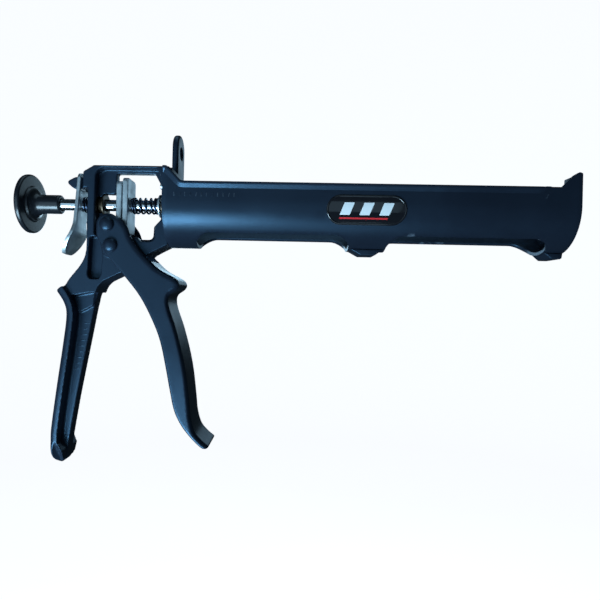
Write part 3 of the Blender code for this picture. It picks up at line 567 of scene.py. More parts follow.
# %% Loft helpers
def loft(rings, closed=False):
    """Join rings of equally many points; the ends are capped unless the rings form a loop."""
    shape = bmesh.new()
    made = [[shape.verts.new(point) for point in ring] for ring in rings]
    pairs = list(zip(made, made[1:])) + ([(made[-1], made[0])] if closed else [])
    for near, far in pairs:
        for number in range(len(near)):
            after = (number + 1) % len(near)
            shape.faces.new((near[number], near[after], far[after], far[number]))
    if not closed:
        shape.faces.new(made[0])
        shape.faces.new(made[-1])
    return shape


def in_space(point, depth, axis):
    """A point of an outline put at a depth along X, Y or Z."""
    place = list(point)
    place.insert("XYZ".index(axis), depth)
    return place


def prism(outline, low, high, axis="Y"):
    return loft([[in_space(point, depth, axis) for point in outline] for depth in (low, high)])


def side_prism(outline, half):
    return prism(outline, -half, half)


def turned(profile, axis="X", centre=(0.0, 0.0, 0.0), segments=96):
    """Turn a closed profile of (along, radius) points about an axis."""
    index = "XYZ".index(axis)
    others = [number for number in range(3) if number != index]
    on_axis = [(along, max(radius, 0.0005)) for along, radius in profile]
    rings = []
    for step in range(segments):
        angle = math.tau * step / segments
        ring = []
        for along, radius in on_axis:
            place = list(centre)
            place[index] += along
            place[others[0]] += radius * math.cos(angle)
            place[others[1]] += radius * math.sin(angle)
            ring.append(place)
        rings.append(ring)
    shape = loft(rings, closed=True)
    bmesh.ops.remove_doubles(shape, verts=shape.verts, dist=0.002)
    return shape


def cylinder(radius, low, high, axis="X", centre=(0.0, 0.0, 0.0), segments=48):
    return turned([(low, 0), (low, radius), (high, radius), (high, 0)], axis, centre, segments)


def eased(profile, radius, steps=4):
    """A turned profile with its sharp corners rounded, except on the axis."""
    return rounded([(along, reach, radius if reach > 0.01 else 0) for along, reach in profile],
                   steps)


print("loft helpers ready")

# %% [markdown]
# ## From bodies to pieces
# A body becomes a piece of the tool when it has a finish, rides on the right moving part and
# stands for its solid. Shapes that are cut or joined use Blender's Boolean modifier, whose
# result is then kept as a plain mesh, so that later steps are quick.

# %% Piece helpers
def to_mesh(name, shape):
    """A mesh in metres from a shape in millimetres, with its faces outward."""
    bmesh.ops.recalc_face_normals(shape, faces=shape.faces)
    closed = all(edge.is_manifold for edge in shape.edges)
    if closed and shape.calc_volume(signed=True) < 0.0:
        bmesh.ops.reverse_faces(shape, faces=shape.faces)
    for corner in shape.verts:
        corner.co = (corner.co + Vector((REAR_FACE, 0.0, 0.0))) * MM
    mesh = bpy.data.meshes.new(name)
    shape.to_mesh(mesh)
    shape.free()
    return mesh


def loose(name, shape):
    made = bpy.data.objects.new(name, to_mesh(name, shape))
    bpy.context.collection.objects.link(made)
    return made


def settle(made):
    """Keep what the modifiers give as the object's own mesh."""
    graph = bpy.context.evaluated_depsgraph_get()
    old = made.data
    made.data = bpy.data.meshes.new_from_object(made.evaluated_get(graph))
    made.data.name = made.name
    made.modifiers.clear()
    bpy.data.meshes.remove(old)


def carve(made, steps):
    """Join ("UNION"), cut ("DIFFERENCE") or keep what is within ("INTERSECT") each shape."""
    tools = []
    for operation, shape in steps:
        tools.append(loose(made.name + "_tool", shape))
        step = made.modifiers.new(operation, "BOOLEAN")
        step.operation, step.solver, step.object = operation, "EXACT", tools[-1]
    settle(made)
    for tool in tools:
        mesh = tool.data
        bpy.data.objects.remove(tool)
        bpy.data.meshes.remove(mesh)


def soften(made, size, passes):
    """Remesh evenly and smooth, which rounds every edge as a casting's are."""
    even = made.modifiers.new("even", "REMESH")
    even.mode = "VOXEL"
    even.voxel_size = size * MM
    relax = made.modifiers.new("relax", "SMOOTH")
    relax.factor, relax.iterations = 0.5, passes
    settle(made)


def round_edges(made, width, segments=3, angle=50.0):
    edge = made.modifiers.new("edges", "BEVEL")
    edge.width, edge.segments = width * MM, segments
    edge.limit_method, edge.angle_limit = "ANGLE", math.radians(angle)
    settle(made)


def dress(made, material, slot, body, *nodes, sharp=38.0):
    """Shade, paint and hang a piece on its moving part, in place of its solids."""
    made.data.materials.clear()
    made.data.materials.append(material)
    made.data.shade_smooth()
    made.data.set_sharp_from_angle(angle=math.radians(sharp))
    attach(made, body)
    if nodes:
        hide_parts(*nodes)
    print(f"{made.name}: {len(made.data.polygons)} faces on {body}")


print("piece helpers ready")

# %% [markdown]
# ## The cradle's shell
# The cradle is rolled from sheet, so it is made as it would be in a workshop: cut flat, then
# bent. The flat pattern has the rim's line with its wings and horns, and two windows with round
# corners. A triangle mesh fills the pattern, each point is wrapped round the rod's axis, and a
# Solidify modifier gives the sheet its thickness. Cutting the windows out of a finished tube
# would leave long thin triangles that shade badly.

# %% Cradle sizes
INNER = 23.5
WALL = 2.0
MIDDLE = INNER + WALL / 2
OUTER = INNER + WALL
RIM = 10.0
WING = 18.5
BULKHEAD = 5.0
FRONT_PLATE = 2.5
LIP_END = LENGTH - 16.0
WINDOWS = ((17.5, 107.5), (129.5, LENGTH - 12.0))
WINDOW_HALF = 17.4
WINDOW_CORNER = 9.0


RIM_END = 60.0
GRID = 1.5


def dress_cradle(made, sharp=38.0):
    dress(made, black_paint, "black_paint", "gun", "cradle", sharp=sharp)


def rim_points():
    """The rim's line from the rear wings to the front horns, in X and Z."""
    rear = rounded([(0.0, 0.0, 0), (0.0, WING, 0.8), (2.5, WING, 1.2), (11.0, RIM, 2.5),
                    (RIM_END, RIM, 0), (RIM_END, 0.0, 0)], 5)
    front = rounded([(LENGTH - RIM_END, 0.0, 0), (LENGTH - RIM_END, RIM, 0),
                     (LENGTH - 11.0, RIM, 2.0),
                     (LENGTH - 4.8, WING - 1.9, 3.0), (LENGTH - 1.7, WING, 1.2),
                     (LENGTH, WING - 0.8, 0.6), (LENGTH, 0.0, 0)], 5)
    return rear[1:-1] + front[1:-1]


def inside(outline, x, y):
    """Whether a point lies within a closed outline."""
    found = False
    for (ax, ay), (bx, by) in zip(outline, outline[1:] + outline[:1]):
        if (ay > y) != (by > y) and x < ax + (bx - ax) * (y - ay) / (by - ay):
            found = not found
    return found


QUARTER = MIDDLE * math.pi / 2


def flat_pattern():
    """Edge of the flat sheet and its windows, as X and the distance round the middle line."""
    rim = rim_points()
    edge = spaced([(x, -QUARTER - z) for x, z in rim] + [(x, QUARTER + z) for x, z in rim[::-1]],
                  GRID)
    holes = []
    for rear, front in WINDOWS:
        corners = [(rear, -WINDOW_HALF, WINDOW_CORNER), (front, -WINDOW_HALF, WINDOW_CORNER),
                   (front, WINDOW_HALF, WINDOW_CORNER), (rear, WINDOW_HALF, WINDOW_CORNER)]
        flat = spaced(rounded(corners, 12), GRID)
        holes.append([(x, MIDDLE * math.asin(y / MIDDLE)) for x, y in flat])
    return edge, holes


def bent(x, s):
    """Where a point of the flat sheet goes when the sheet is rolled."""
    if abs(s) > QUARTER:
        return (x, math.copysign(MIDDLE, s), abs(s) - QUARTER)
    return (x, MIDDLE * math.sin(s / MIDDLE), -MIDDLE * math.cos(s / MIDDLE))


def make_shell():
    edge, holes = flat_pattern()
    loops = [edge, *holes]
    points, borders = [], []
    for loop in loops:
        first = len(points)
        points += loop
        borders += [(first + k, first + (k + 1) % len(loop)) for k in range(len(loop))]
    reach = max(s for _, s in edge)
    fixed = [Vector(point) for point in points]
    columns, rows = round(LENGTH / 3.0), round(2 * reach / 1.6)
    for column in range(1, columns):
        for row in range(1, rows):
            x, s = LENGTH * column / columns, -reach + 2 * reach * row / rows
            near = any(abs(p.x - x) < 0.9 and abs(p.y - s) < 0.7 for p in fixed)
            if not near and inside(edge, x, s) and not any(inside(h, x, s) for h in holes):
                points.append((x, s))
    flat, _, faces, _, _, _ = delaunay_2d_cdt([Vector(p) for p in points], borders, [], 0, 1e-5)
    shape = bmesh.new()
    corners = [shape.verts.new(bent(p.x, p.y)) for p in flat]
    for face in faces:
        x = sum(flat[k].x for k in face) / 3
        s = sum(flat[k].y for k in face) / 3
        if inside(edge, x, s) and not any(inside(h, x, s) for h in holes):
            shape.faces.new([corners[k] for k in face])
    bmesh.ops.delete(shape, geom=[v for v in shape.verts if not v.link_faces], context="VERTS")
    made = loose("cradle_shell", shape)
    skin = made.modifiers.new("sheet", "SOLIDIFY")
    skin.thickness, skin.offset, skin.use_even_offset = WALL * MM, 0.0, True
    settle(made)
    round_edges(made, 0.35, 2, 60.0)
    dress_cradle(made)


make_shell()

# %% [markdown]
# ## The rolled lip
# The rim is folded outward into a lip that stiffens the sheet and catches the light. Its
# section is a small hook; the same hook is drawn at many places along the rim's line and the
# rings are joined. Near the horns it shrinks to nothing, as a fold does where the tool lets go.

# %% Rim lips
LIP_ROOT = 24.6
LIP_SECTION = ((LIP_ROOT, -0.05), (26.2, 0.02), (26.62, -0.12), (26.84, -0.5), (26.88, -1.1),
               (26.78, -1.7), (26.3, -2.3), (25.75, -3.2), (25.3, -4.2), (LIP_ROOT, -4.4))


def lip_line():
    """The lip's line in X and Z, with a point at least every four millimetres."""
    line = rounded([(0.15, WING - 5.0, 0), (0.15, WING, 0.4), (2.5, WING, 1.4), (11.0, RIM, 2.8),
                    (LIP_END, RIM, 0), (LIP_END, RIM - 5.0, 0)], 6)
    line = [Vector(point) for point in line[1:-1]]
    dense = []
    for first, second in zip(line, line[1:]):
        parts = max(1, math.ceil((second - first).length / 4.0))
        dense += [first.lerp(second, k / parts) for k in range(parts)]
    return [*dense, line[-1]]


def make_lip(side, hand):
    dense = lip_line()
    rings = []
    for number, point in enumerate(dense):
        before, after = dense[max(number - 1, 0)], dense[min(number + 1, len(dense) - 1)]
        ahead = (after - before).normalized()
        down = Vector((ahead.y, -ahead.x))
        if down.y > 0:
            down = -down
        fade = min(1.0, (LIP_END - point.x) / 5.0 + 0.02)
        ring = []
        for out, level in LIP_SECTION:
            reach = LIP_ROOT + (out - LIP_ROOT) * (0.35 + 0.65 * fade)
            drop = -level * fade
            ring.append((min(max(point.x + down.x * drop, 0.12), LENGTH), side * reach,
                         point.y + down.y * drop))
        rings.append(ring)
    dress_cradle(loose("rim_lip_" + hand, loft(rings)), 50.0)


HANDS = ((-1, "right"), (1, "left"))
for side, hand in HANDS:
    make_lip(side, hand)

# %% [markdown]
# ## Bulkhead, front plate and feet
# The bulkhead closes the rear and carries the eye to hang the gun by; the front plate holds the
# cartridge's shoulder and is open at the top for the nozzle. Both are thick plates: an outline
# is given its thickness, holes are cut with Booleans, and a narrow Bevel breaks the edges so
# that they catch light. The feet under the bands are the pressed tabs the gun rests on.

# %% Ends of the cradle
SCREWS = ((-5.6, 11.0), (5.6, 11.0), (-5.6, -13.0), (5.6, -13.0))
SCREW_HOLE = 2.05
ROD_HOLE = 5.5
PLATE_RADIUS = INNER + 0.1
EYE_HALF, EYE_TOP = 9.0, 43.5
EYE_HOLE, EYE_HOLE_LEVEL = 3.45, 32.5
NOZZLE_SLOT = 11.0
FOOT_ROOT, FOOT_SOLE, FOOT_HALF = -24.6, -28.05, 8.0


def make_bulkhead():
    made = loose("bulkhead", prism(u_outline(PLATE_RADIUS, WING - 0.6, 64), 0.25, BULKHEAD, "X"))
    cuts = [("DIFFERENCE", cylinder(ROD_HOLE, -3.0, 9.0))]
    cuts += [("DIFFERENCE", cylinder(SCREW_HOLE, -3.0, 9.0, centre=(0.0, y, z)))
             for y, z in SCREWS]
    carve(made, cuts)
    round_edges(made, 0.3, 2)
    dress_cradle(made)


def make_eye():
    shoulder, root = EYE_TOP - EYE_HALF, 15.0
    outline = [(-EYE_HALF, root), *arc((0.0, shoulder), EYE_HALF, 180.0, 0.0, 40),
               (EYE_HALF, root)]
    made = loose("hanging_eye", prism(outline, 1.22, BULKHEAD - 0.02, "X"))
    hole = cylinder(EYE_HOLE, -3.0, 9.0, centre=(0.0, 0.0, EYE_HOLE_LEVEL))
    carve(made, [("DIFFERENCE", hole)])
    round_edges(made, 1.3, 5, 60.0)
    dress_cradle(made)


def make_front_plate():
    rear = LENGTH - FRONT_PLATE
    made = loose("front_plate", prism(u_outline(PLATE_RADIUS, WING - 1.0, 64), rear,
                                      LENGTH - 0.15, "X"))
    slot = prism(u_outline(NOZZLE_SLOT, WING + 5.0, 40), rear - 3.0, LENGTH + 3.0, "X")
    carve(made, [("DIFFERENCE", slot)])
    round_edges(made, 0.5, 3)
    dress_cradle(made)


def make_foot(name, rear, front, low_rear, low_front):
    outline = rounded([(rear, FOOT_ROOT, 0), (low_rear, FOOT_SOLE, 1.2),
                       (low_front, FOOT_SOLE, 1.2), (front, FOOT_ROOT, 0)], 5)
    made = loose(name, side_prism(outline, FOOT_HALF))
    round_edges(made, 0.7, 3, 40.0)
    dress_cradle(made)


make_bulkhead()
make_eye()
make_front_plate()
make_foot("middle_foot", 108.6, 128.4, 115.0, 123.5)
make_foot("front_foot", LENGTH - 11.0, LENGTH - 0.45, LENGTH - 7.0, LENGTH - 1.0)

# %% [markdown]
# ## Raised ticks under the lip
# Stamped marks run along the barrel behind the wing. They are left as plain ticks of even
# height, thin wedges that stand a quarter of a millimetre out of the paint.

# %% Ticks
def tick(x, low, high, side, width=0.5, lean=0.0):
    """A small upright bar on the cradle's flank."""
    rows = []
    for level in (low, low + 0.3, high - 0.3, high):
        shift = lean * (level - low)
        flank = math.sqrt(OUTER ** 2 - min(level, 0.0) ** 2)
        proud = 0.22 if low < level < high else -0.05
        rows.append([(x - width / 2 + shift, side * (flank - 0.1), level),
                     (x - width / 4 + shift, side * (flank + proud), level),
                     (x + width / 4 + shift, side * (flank + proud), level),
                     (x + width / 2 + shift, side * (flank - 0.1), level)])
    return loft(rows)


def joined(name, shapes):
    """Several small shapes as one mesh."""
    whole = bmesh.new()
    for shape in shapes:
        part = bpy.data.meshes.new("part")
        bmesh.ops.recalc_face_normals(shape, faces=shape.faces)
        shape.to_mesh(part)
        shape.free()
        whole.from_mesh(part)
        bpy.data.meshes.remove(part)
    return loose(name, whole)


TICK_START, TICK_STEP, TICK_FOOT = 7.0, 3.1, 1.4
TICK_HEIGHTS = (2.4, 2.0, 2.5, 2.1, 2.4, 2.2)
for side, hand in HANDS:
    marks = [tick(TICK_START + TICK_STEP * k, TICK_FOOT, TICK_FOOT + TICK_HEIGHTS[k % 6], side,
                  0.55, 0.25 if k % 3 == 1 else 0.0) for k in range(12)]
    marks += [tick(213.6, 3.4, 6.0, side, 0.8, 0.5)]
    dress_cradle(joined("barrel_ticks_" + hand, marks))

# %% [markdown]
# ## Badges
# A glossy black label lies on each flank, hardly thicker than the paint. Its outline is
# projected on the barrel: every point of a small grid is moved out to the barrel's radius. The
# raised border and the printed marks are thin shells made in the same way, only a little
# further out. The marks are generic: three slanted bars and a thin rule.

# %% Badges
BADGE_CENTRE = (115.5, -4.5)
BADGE_LENGTH, BADGE_HEIGHT = 44.8, 16.3
LABEL_LEVEL, BORDER_LEVEL, PRINT_LEVEL = 0.30, 0.62, 0.34
BORDER_HALF = 0.62


def on_flank(x, z, out, side):
    """A point on the barrel's flank, pushed out past the wall."""
    radius = OUTER + out
    return (x, side * math.sqrt(radius ** 2 - min(z, 0.0) ** 2), z)


def flank_plate(outline, low, high, side, step=1.2):
    """A thin curved plate over a closed outline, filled with small triangles."""
    edge = spaced(outline, step)
    points = list(edge)
    borders = [(k, (k + 1) % len(edge)) for k in range(len(edge))]
    xs, zs = [p[0] for p in edge], [p[1] for p in edge]
    across = max(1, round((max(xs) - min(xs)) / 2.5))
    tall = max(1, round((max(zs) - min(zs)) / step))
    for column in range(1, across):
        for row in range(1, tall):
            x = min(xs) + (max(xs) - min(xs)) * column / across
            z = min(zs) + (max(zs) - min(zs)) * row / tall
            if inside(edge, x, z) and all(abs(a - x) > 0.5 or abs(b - z) > 0.4 for a, b in edge):
                points.append((x, z))
    flat, _, faces, _, _, _ = delaunay_2d_cdt([Vector(p) for p in points], borders, [], 0, 1e-6)
    shape = bmesh.new()
    tops = [shape.verts.new(on_flank(p.x, p.y, high, side)) for p in flat]
    bottoms = [shape.verts.new(on_flank(p.x, p.y, low, side)) for p in flat]
    for face in faces:
        if inside(edge, sum(flat[k].x for k in face) / 3, sum(flat[k].y for k in face) / 3):
            shape.faces.new([tops[k] for k in face])
            shape.faces.new([bottoms[k] for k in face[::-1]])
    for edge_pair in [e for e in shape.edges if len(e.link_faces) == 1 and e.verts[0] in tops]:
        first, second = (tops.index(v) for v in edge_pair.verts)
        shape.faces.new((tops[first], tops[second], bottoms[second], bottoms[first]))
    return shape


def badge_border(side, low, high):
    """A raised ring round the badge, half round in section."""
    rings = []
    middle = spaced(stadium(43.6, 15.1, BADGE_CENTRE), 0.9)
    for number, (x, z) in enumerate(middle):
        before, after = middle[number - 1], middle[(number + 1) % len(middle)]
        along = Vector((after[0] - before[0], after[1] - before[1])).normalized()
        ring = []
        for a in (math.tau * k / 10 for k in range(10)):
            out = BORDER_HALF * math.cos(a)
            ring.append(on_flank(x + along.y * out, z - along.x * out,
                                 low + (high - low) * max(math.sin(a), 0.0), side))
        rings.append(ring)
    return loft(rings, closed=True)


def slanted(x, z, width, height, lean):
    return [(x, z), (x + width, z), (x + width + lean, z + height), (x + lean, z + height)]


for side, hand in HANDS:
    node_name = "badge_" + hand
    label = stadium(BADGE_LENGTH, BADGE_HEIGHT, BADGE_CENTRE)
    plate = loose("label_" + hand, flank_plate(label, -0.1, LABEL_LEVEL, side))
    dress(plate, badge_gloss, "badge_gloss", "gun", node_name)
    border = loose("label_border_" + hand, badge_border(side, 0.1, BORDER_LEVEL))
    dress(border, badge_gloss, "badge_gloss", "gun", node_name, sharp=60.0)
    bars = [flank_plate(slanted(100.5 + 11.0 * k, -7.4, 5.6, 6.8, 2.6), 0.2, PRINT_LEVEL, side)
            for k in range(3)]
    dress(joined("label_bars_" + hand, bars), print_white, "badge_gloss", "gun", node_name)
    rule = flank_plate(slanted(100.2, -9.6, 27.0, 0.9, 0.35), 0.2, PRINT_LEVEL, side)
    dress(loose("label_rule_" + hand, rule), print_red, "badge_gloss", "gun", node_name)

# %% [markdown]
# ## The handle casting
# Bar, upright, arm and handle are one aluminium casting. It is drawn from the side, given
# different widths at the rib, the web and the palm, and joined with Booleans. A voxel Remesh
# then rebuilds the whole as an even skin and a few smoothing passes round every edge and every
# inner corner, which is just how a casting looks: no edge on it is sharp. Bevels on a shape
# made of so many joined solids would break.

# %% Casting outlines
PIVOT = (-33.0, -25.9)
DRIVE_PIN = (-35.4, -13.6)
BAR_TOP, BAR_BOTTOM = 22.8, 19.4
UPRIGHT = -49.3
WEB_HALF, RIB_HALF, PALM_HALF = 3.8, 9.0, 12.0
PALM_DEPTH, PALM_FALL = 7.0, 5.0
HANDLE_END = -158.5
WINDOW_REAR, FLANGE = -42.3, -6.3
REAR_EDGE = [(-49.8, -12.0), (-49.6, -28.0), (-52.3, -36.6), (-59.4, -45.9), (-67.2, -54.4)]
PALM_EDGE = [(-67.2, -54.4), (-62.6, -61.5), (-61.2, -69.0), (-63.0, -87.0), (-66.4, -114.0),
             (-69.0, -138.0), (-69.0, -148.1), (-67.2, -155.0), (-63.5, HANDLE_END)]
FINGER_EDGE = [(-63.5, HANDLE_END), (-60.7, -155.5), (-59.6, -146.0), (-55.8, -121.0),
               (-52.3, -101.0), (-48.5, -80.0), (-45.4, -62.5), (-43.3, -54.0), (-40.0, -48.2),
               (-33.6, -44.4), (-25.0, -40.4), (-16.8, -35.2)]


UPPER_EDGE = [(-52.5, BAR_TOP - 4.0), (-45.8, BAR_TOP), (-0.3, BAR_TOP), (-0.3, -24.3),
              (-10.8, -29.8)]


def casting_outline():
    return [*UPPER_EDGE, *smooth_path(FINGER_EDGE)[::-1], *smooth_path(PALM_EDGE)[::-1][1:],
            *smooth_path(REAR_EDGE)[::-1][1:], (UPRIGHT, 9.2), (-52.5, 9.2)]


def rib_outline():
    return [*UPPER_EDGE, *smooth_path(FINGER_EDGE[:-6:-1]), (-46.0, -54.0),
            (-56.0, -56.0), (-64.5, -54.4), *smooth_path(REAR_EDGE[-2::-1]), (UPRIGHT, 9.2),
            (-52.5, 9.2)]


def palm_outline():
    palm = smooth_path(PALM_EDGE)
    inner = offset_path(palm, -PALM_DEPTH)
    return palm + [(-60.7, -155.5), (-60.0, -150.0)] + [p for p in inner[::-1] if p[1] > -146.0]


def rounding(z):
    """How much of the palm's width is left near its rounded bottom end."""
    return math.sqrt(1.0 - min(0.97, max(0.0, (-146.0 - z) / 12.8) ** 2))


def palm_loft():
    """The palm side, full at the middle and falling away to its flanks like a half round."""
    outline = [(x - min(1.0, (z - HANDLE_END) / 20.0), z) for x, z in palm_outline()]
    back = len(smooth_path(PALM_EDGE))
    inward = offset_path(outline[:back], -1.0)
    rings = []
    for side, angle in [(-1, a) for a in range(90, 9, -10)] + [(1, a) for a in range(10, 91, 10)]:
        turn = math.radians(angle)
        fall = PALM_FALL * (1.0 - math.cos(turn))
        edge = []
        for (x, z), (inner_x, inner_z) in zip(outline, inward):
            part = fall * min(1.0, max(0.0, (z - HANDLE_END) / 14.0))
            edge.append((x + (inner_x - x) * part, z + (inner_z - z) * part))
        y = side * PALM_HALF * math.sin(turn)
        rings.append([(x, y * rounding(z), z) for x, z in [*edge, *outline[back:]]])
    return loft(rings)


def opening_outline(margin):
    """The opening that the drive plates work in."""
    left, right = WINDOW_REAR - margin, FLANGE + margin
    roof, floor_level = BAR_BOTTOM + margin * 0.8, -19.0 - margin * 0.6
    return rounded([(left, roof, 5.0), (right - 4.2, roof, 1.0), (right, roof - 7.5, 2.0),
                    (right, -8.5, 2.0), (right - 4.2, -13.0, 1.5),
                    (right - 4.6, floor_level - 2.0, 2.5), (right - 13.0, floor_level - 2.0, 2.0),
                    (right - 15.0, floor_level, 1.0), (left, floor_level, 3.0)], 5)


def pocket(outline, inner, side):
    """What is cut away beside the web, on one side."""
    near, far = sorted((side * inner, side * 30.0))
    return prism(outline, near, far)


print("casting drawn,", len(casting_outline()), "points round it")

# %% [markdown]
# The widths are built up from the middle: a narrow web of the whole outline, a wider rim round
# the working parts, the wide palm side, the nose the lever hangs on, and the boss of the pivot.

# %% Casting
def make_casting():
    made = loose("handle_casting", side_prism(casting_outline(), WEB_HALF))
    carve(made, [("UNION", palm_loft())])
    nose = rounded([(-47.3, 16.4, 0), (-58.8, 16.4, 1.5), (-64.8, 13.2, 1.5), (-59.8, 9.2, 1.0),
                    (-47.3, 9.2, 0)], 5)
    tang = rounded([(-46.0, -50.0, 0), (-56.0, -54.5, 2.0), (-60.5, -62.0, 2.0),
                    (-53.2, -66.0, 2.0), (-45.8, -61.8, 1.5), (-45.0, -54.0, 0)], 5)
    grip = rounded([(-47.6, -20.0, 2.0), (-41.4, -20.0, 2.0), (-39.5, -32.0, 3.0),
                    (-40.5, -46.0, 3.0), (-48.5, -46.0, 3.0)], 5)
    gusset = rounded([(-44.0, 6.6, 0), (-35.0, 6.6, 1.5), (-33.9, 12.0, 2.0), (-33.9, 21.0, 0),
                      (-44.0, 21.0, 0)], 5)
    steps = [("UNION", side_prism(rib_outline(), RIB_HALF)), ("UNION", side_prism(nose, 5.0)),
             ("DIFFERENCE", side_prism(opening_outline(0.0), 30.0)),
             ("UNION", side_prism(tang, 5.0)), ("UNION", side_prism(gusset, 3.2))]
    for side in (-1, 1):
        steps.append(("DIFFERENCE", pocket(opening_outline(2.6), 2.6, side)))
        steps.append(("DIFFERENCE", pocket(grip, 4.0, side)))
    steps += [("UNION", cylinder(7.0, -10.7, 10.7, "Y", (PIVOT[0], 0.0, PIVOT[1]))),
              ("DIFFERENCE", cylinder(4.5, -20.0, 20.0, "Y", (PIVOT[0], 0.0, PIVOT[1]))),
              ("DIFFERENCE", cylinder(ROD_HOLE, -60.0, 5.0))]
    steps += [("DIFFERENCE", cylinder(SCREW_HOLE, -9.3, 5.0, centre=(0.0, y, z)))
              for y, z in SCREWS]
    carve(made, steps)
    soften(made, 0.5, 5)
    dress(made, black_paint, "black_paint", "gun", "frame", sharp=180.0)


make_casting()

# %% [markdown]
# ### Ticks down the web
# The web of the handle carries a row of raised marks; they are plain blocks here, with soft
# edges from a Bevel.

# %% Handle ticks
WEB_TICKS = 9
WEB_TICK_HALVES = (1.7, 1.3, 1.7, 1.5)


def web_ticks():
    shapes = []
    start, end = Vector((-50.0, -73.0)), Vector((-55.4, -101.0))
    for side in (-1, 1):
        for k in range(WEB_TICKS):
            middle = start.lerp(end, k / (WEB_TICKS - 1))
            half = WEB_TICK_HALVES[k % 4]
            box = [(middle.x - half, middle.y - 0.35), (middle.x + half, middle.y - 0.1),
                   (middle.x + half, middle.y + 0.55), (middle.x - half, middle.y + 0.3)]
            near, far = sorted((side * (WEB_HALF - 0.5), side * (WEB_HALF + 0.15)))
            shapes.append(prism(box, near, far))
    return joined("handle_ticks", shapes)


handle_ticks = web_ticks()
round_edges(handle_ticks, 0.12, 2)
dress(handle_ticks, black_paint, "black_paint", "gun", "frame")

# %% [markdown]
# ## Trigger
# The trigger is cast too, hollow at the back so that it closes over the frame. Its side outline
# is repeated at many depths, a little smaller near each flank, so that the front rounds over
# like a bolster. The hollow is cut out and the whole is softened like the handle.

# %% Trigger
TRIGGER_FRONT = [(-23.6, -14.7), (-21.6, -19.6), (-18.4, -24.8), (-14.4, -29.8), (-9.8, -34.4),
                 (-3.8, -39.6), (5.5, -44.5), (8.1, -47.8), (6.8, -51.0), (2.7, -54.2),
                 (1.8, -58.2), (3.1, -64.0), (6.6, -73.5), (10.8, -88.0), (13.7, -101.5),
                 (15.9, -118.0), (17.0, -127.0), (19.5, -135.0), (23.6, -139.8), (27.9, -143.2)]
TRIGGER_REAR = [(27.9, -143.2), (27.2, -144.6), (23.0, -144.0), (13.5, -134.4), (7.3, -123.8),
                (4.0, -110.5), (1.3, -97.5), (-2.4, -82.0), (-7.5, -69.5), (-15.1, -55.8),
                (-24.5, -44.2), (-31.4, -36.8), (-37.6, -28.9), (-42.0, -20.0)]
TRIGGER_HALF, TRIGGER_WALL, TRIGGER_ROUND = 14.0, 3.0, 3.0
PIVOT_HOLE, DRIVE_HOLE = 3.0, 2.9


def trigger_ring(inset):
    """The trigger's side outline with its front face moved back."""
    head = arc(DRIVE_PIN, 7.0 - inset * 0.5, 178.0, 40.0, 14)
    front = smooth_path([(-27.9, -9.2), *TRIGGER_FRONT], 4)
    moved = offset_path(front, inset)
    rear = smooth_path(TRIGGER_REAR, 4)
    back = offset_path(rear, inset * 0.25)
    return [*head, *moved, *back[1:]]


def make_trigger():
    rings = []
    depths = [(-1, a) for a in range(0, 91, 15)] + [(1, a) for a in range(90, -1, -15)]
    for side, angle in depths:
        turn = math.radians(angle)
        inset = TRIGGER_ROUND * (1.0 - math.sin(turn))
        y = side * (TRIGGER_HALF - 0.02 - TRIGGER_ROUND * (1.0 - math.cos(turn)))
        rings.append([(x, y, z) for x, z in trigger_ring(inset)])
    made = loose("trigger_lever", loft(rings))
    front = smooth_path([(-27.9, -9.2), *TRIGGER_FRONT], 2)
    inner = offset_path(front, TRIGGER_WALL)[10:35]
    opening = offset_path(front, -8.0)[10]
    hollow = [*inner, (-80.0, inner[-1][1] - 14.0), (-80.0, 30.0), (opening[0], 30.0), opening]
    cuts = [("DIFFERENCE", side_prism(hollow, TRIGGER_HALF - TRIGGER_WALL))]
    for place, radius in ((PIVOT, PIVOT_HOLE), (DRIVE_PIN, DRIVE_HOLE)):
        cuts.append(("DIFFERENCE", cylinder(radius, -20.0, 20.0, "Y", (place[0], 0.0, place[1]))))
    carve(made, cuts)
    soften(made, 0.5, 4)
    dress(made, black_paint, "black_paint", "trigger", "trigger", sharp=180.0)


make_trigger()

# %% [markdown]
# ## Rivets
# Two dome-headed rivets join trigger and casting. A turned profile gives the shank and both
# heads in one piece, and the slight flat on top is where the hammer struck.

# %% Rivets
HEAD_RADIUS, HEAD_RIM, HEAD_RISE = 4.2, 0.4, 2.3


def rivet(name, place, radius, node_name):
    seat = TRIGGER_HALF + 0.3
    dome = [(seat, HEAD_RADIUS), (seat + HEAD_RIM, HEAD_RADIUS)]
    dome += [(seat + HEAD_RIM + HEAD_RISE * math.sin(a), HEAD_RADIUS * math.cos(a))
             for a in (math.radians(degrees) for degrees in range(12, 80, 9))]
    dome += [(seat + 2.68, 0.6), (seat + 2.7, 0.0)]
    half = [(seat, radius), *dome]
    profile = [(-along, reach) for along, reach in half[::-1]] + half
    made = loose(name, turned(profile, "Y", (place[0], 0.0, place[1]), 64))
    dress(made, black_paint, "black_paint", "trigger", node_name)


rivet("pivot_rivet_domed", PIVOT, 2.7, "pivot_rivet")
rivet("drive_rivet_domed", DRIVE_PIN, 2.6, "drive_rivet")

# %% [markdown]
# ## Turned pieces
# Rod, knob, piston, bushes and screws came off a lathe. Each is a profile of (along, radius)
# points turned about the rod's axis, with every corner eased by a small arc, because a
# perfectly sharp corner gives no highlight. Blender's Screw modifier would turn a profile too;
# turning it in code keeps the seams merged.

# %% Thrust rod and pull knob
ROD = 3.5
PIN_PLACE, PIN_HOLE = -74.0, 1.5


def make_rod():
    rear, front = (corner.x for corner in span("thrust_rod"))
    profile = [(rear, 0), (rear, ROD - 0.5), (rear + 0.5, ROD), (front - 0.25, ROD),
               (front, ROD - 0.25), (front, 0)]
    made = loose("drawn_rod", turned(profile))
    pin = cylinder(PIN_HOLE, -20.0, 20.0, "Y", (PIN_PLACE, 0.0, 0.0))
    carve(made, [("DIFFERENCE", pin)])
    dress(made, bright_steel, "bright_steel", "rod", "thrust_rod")


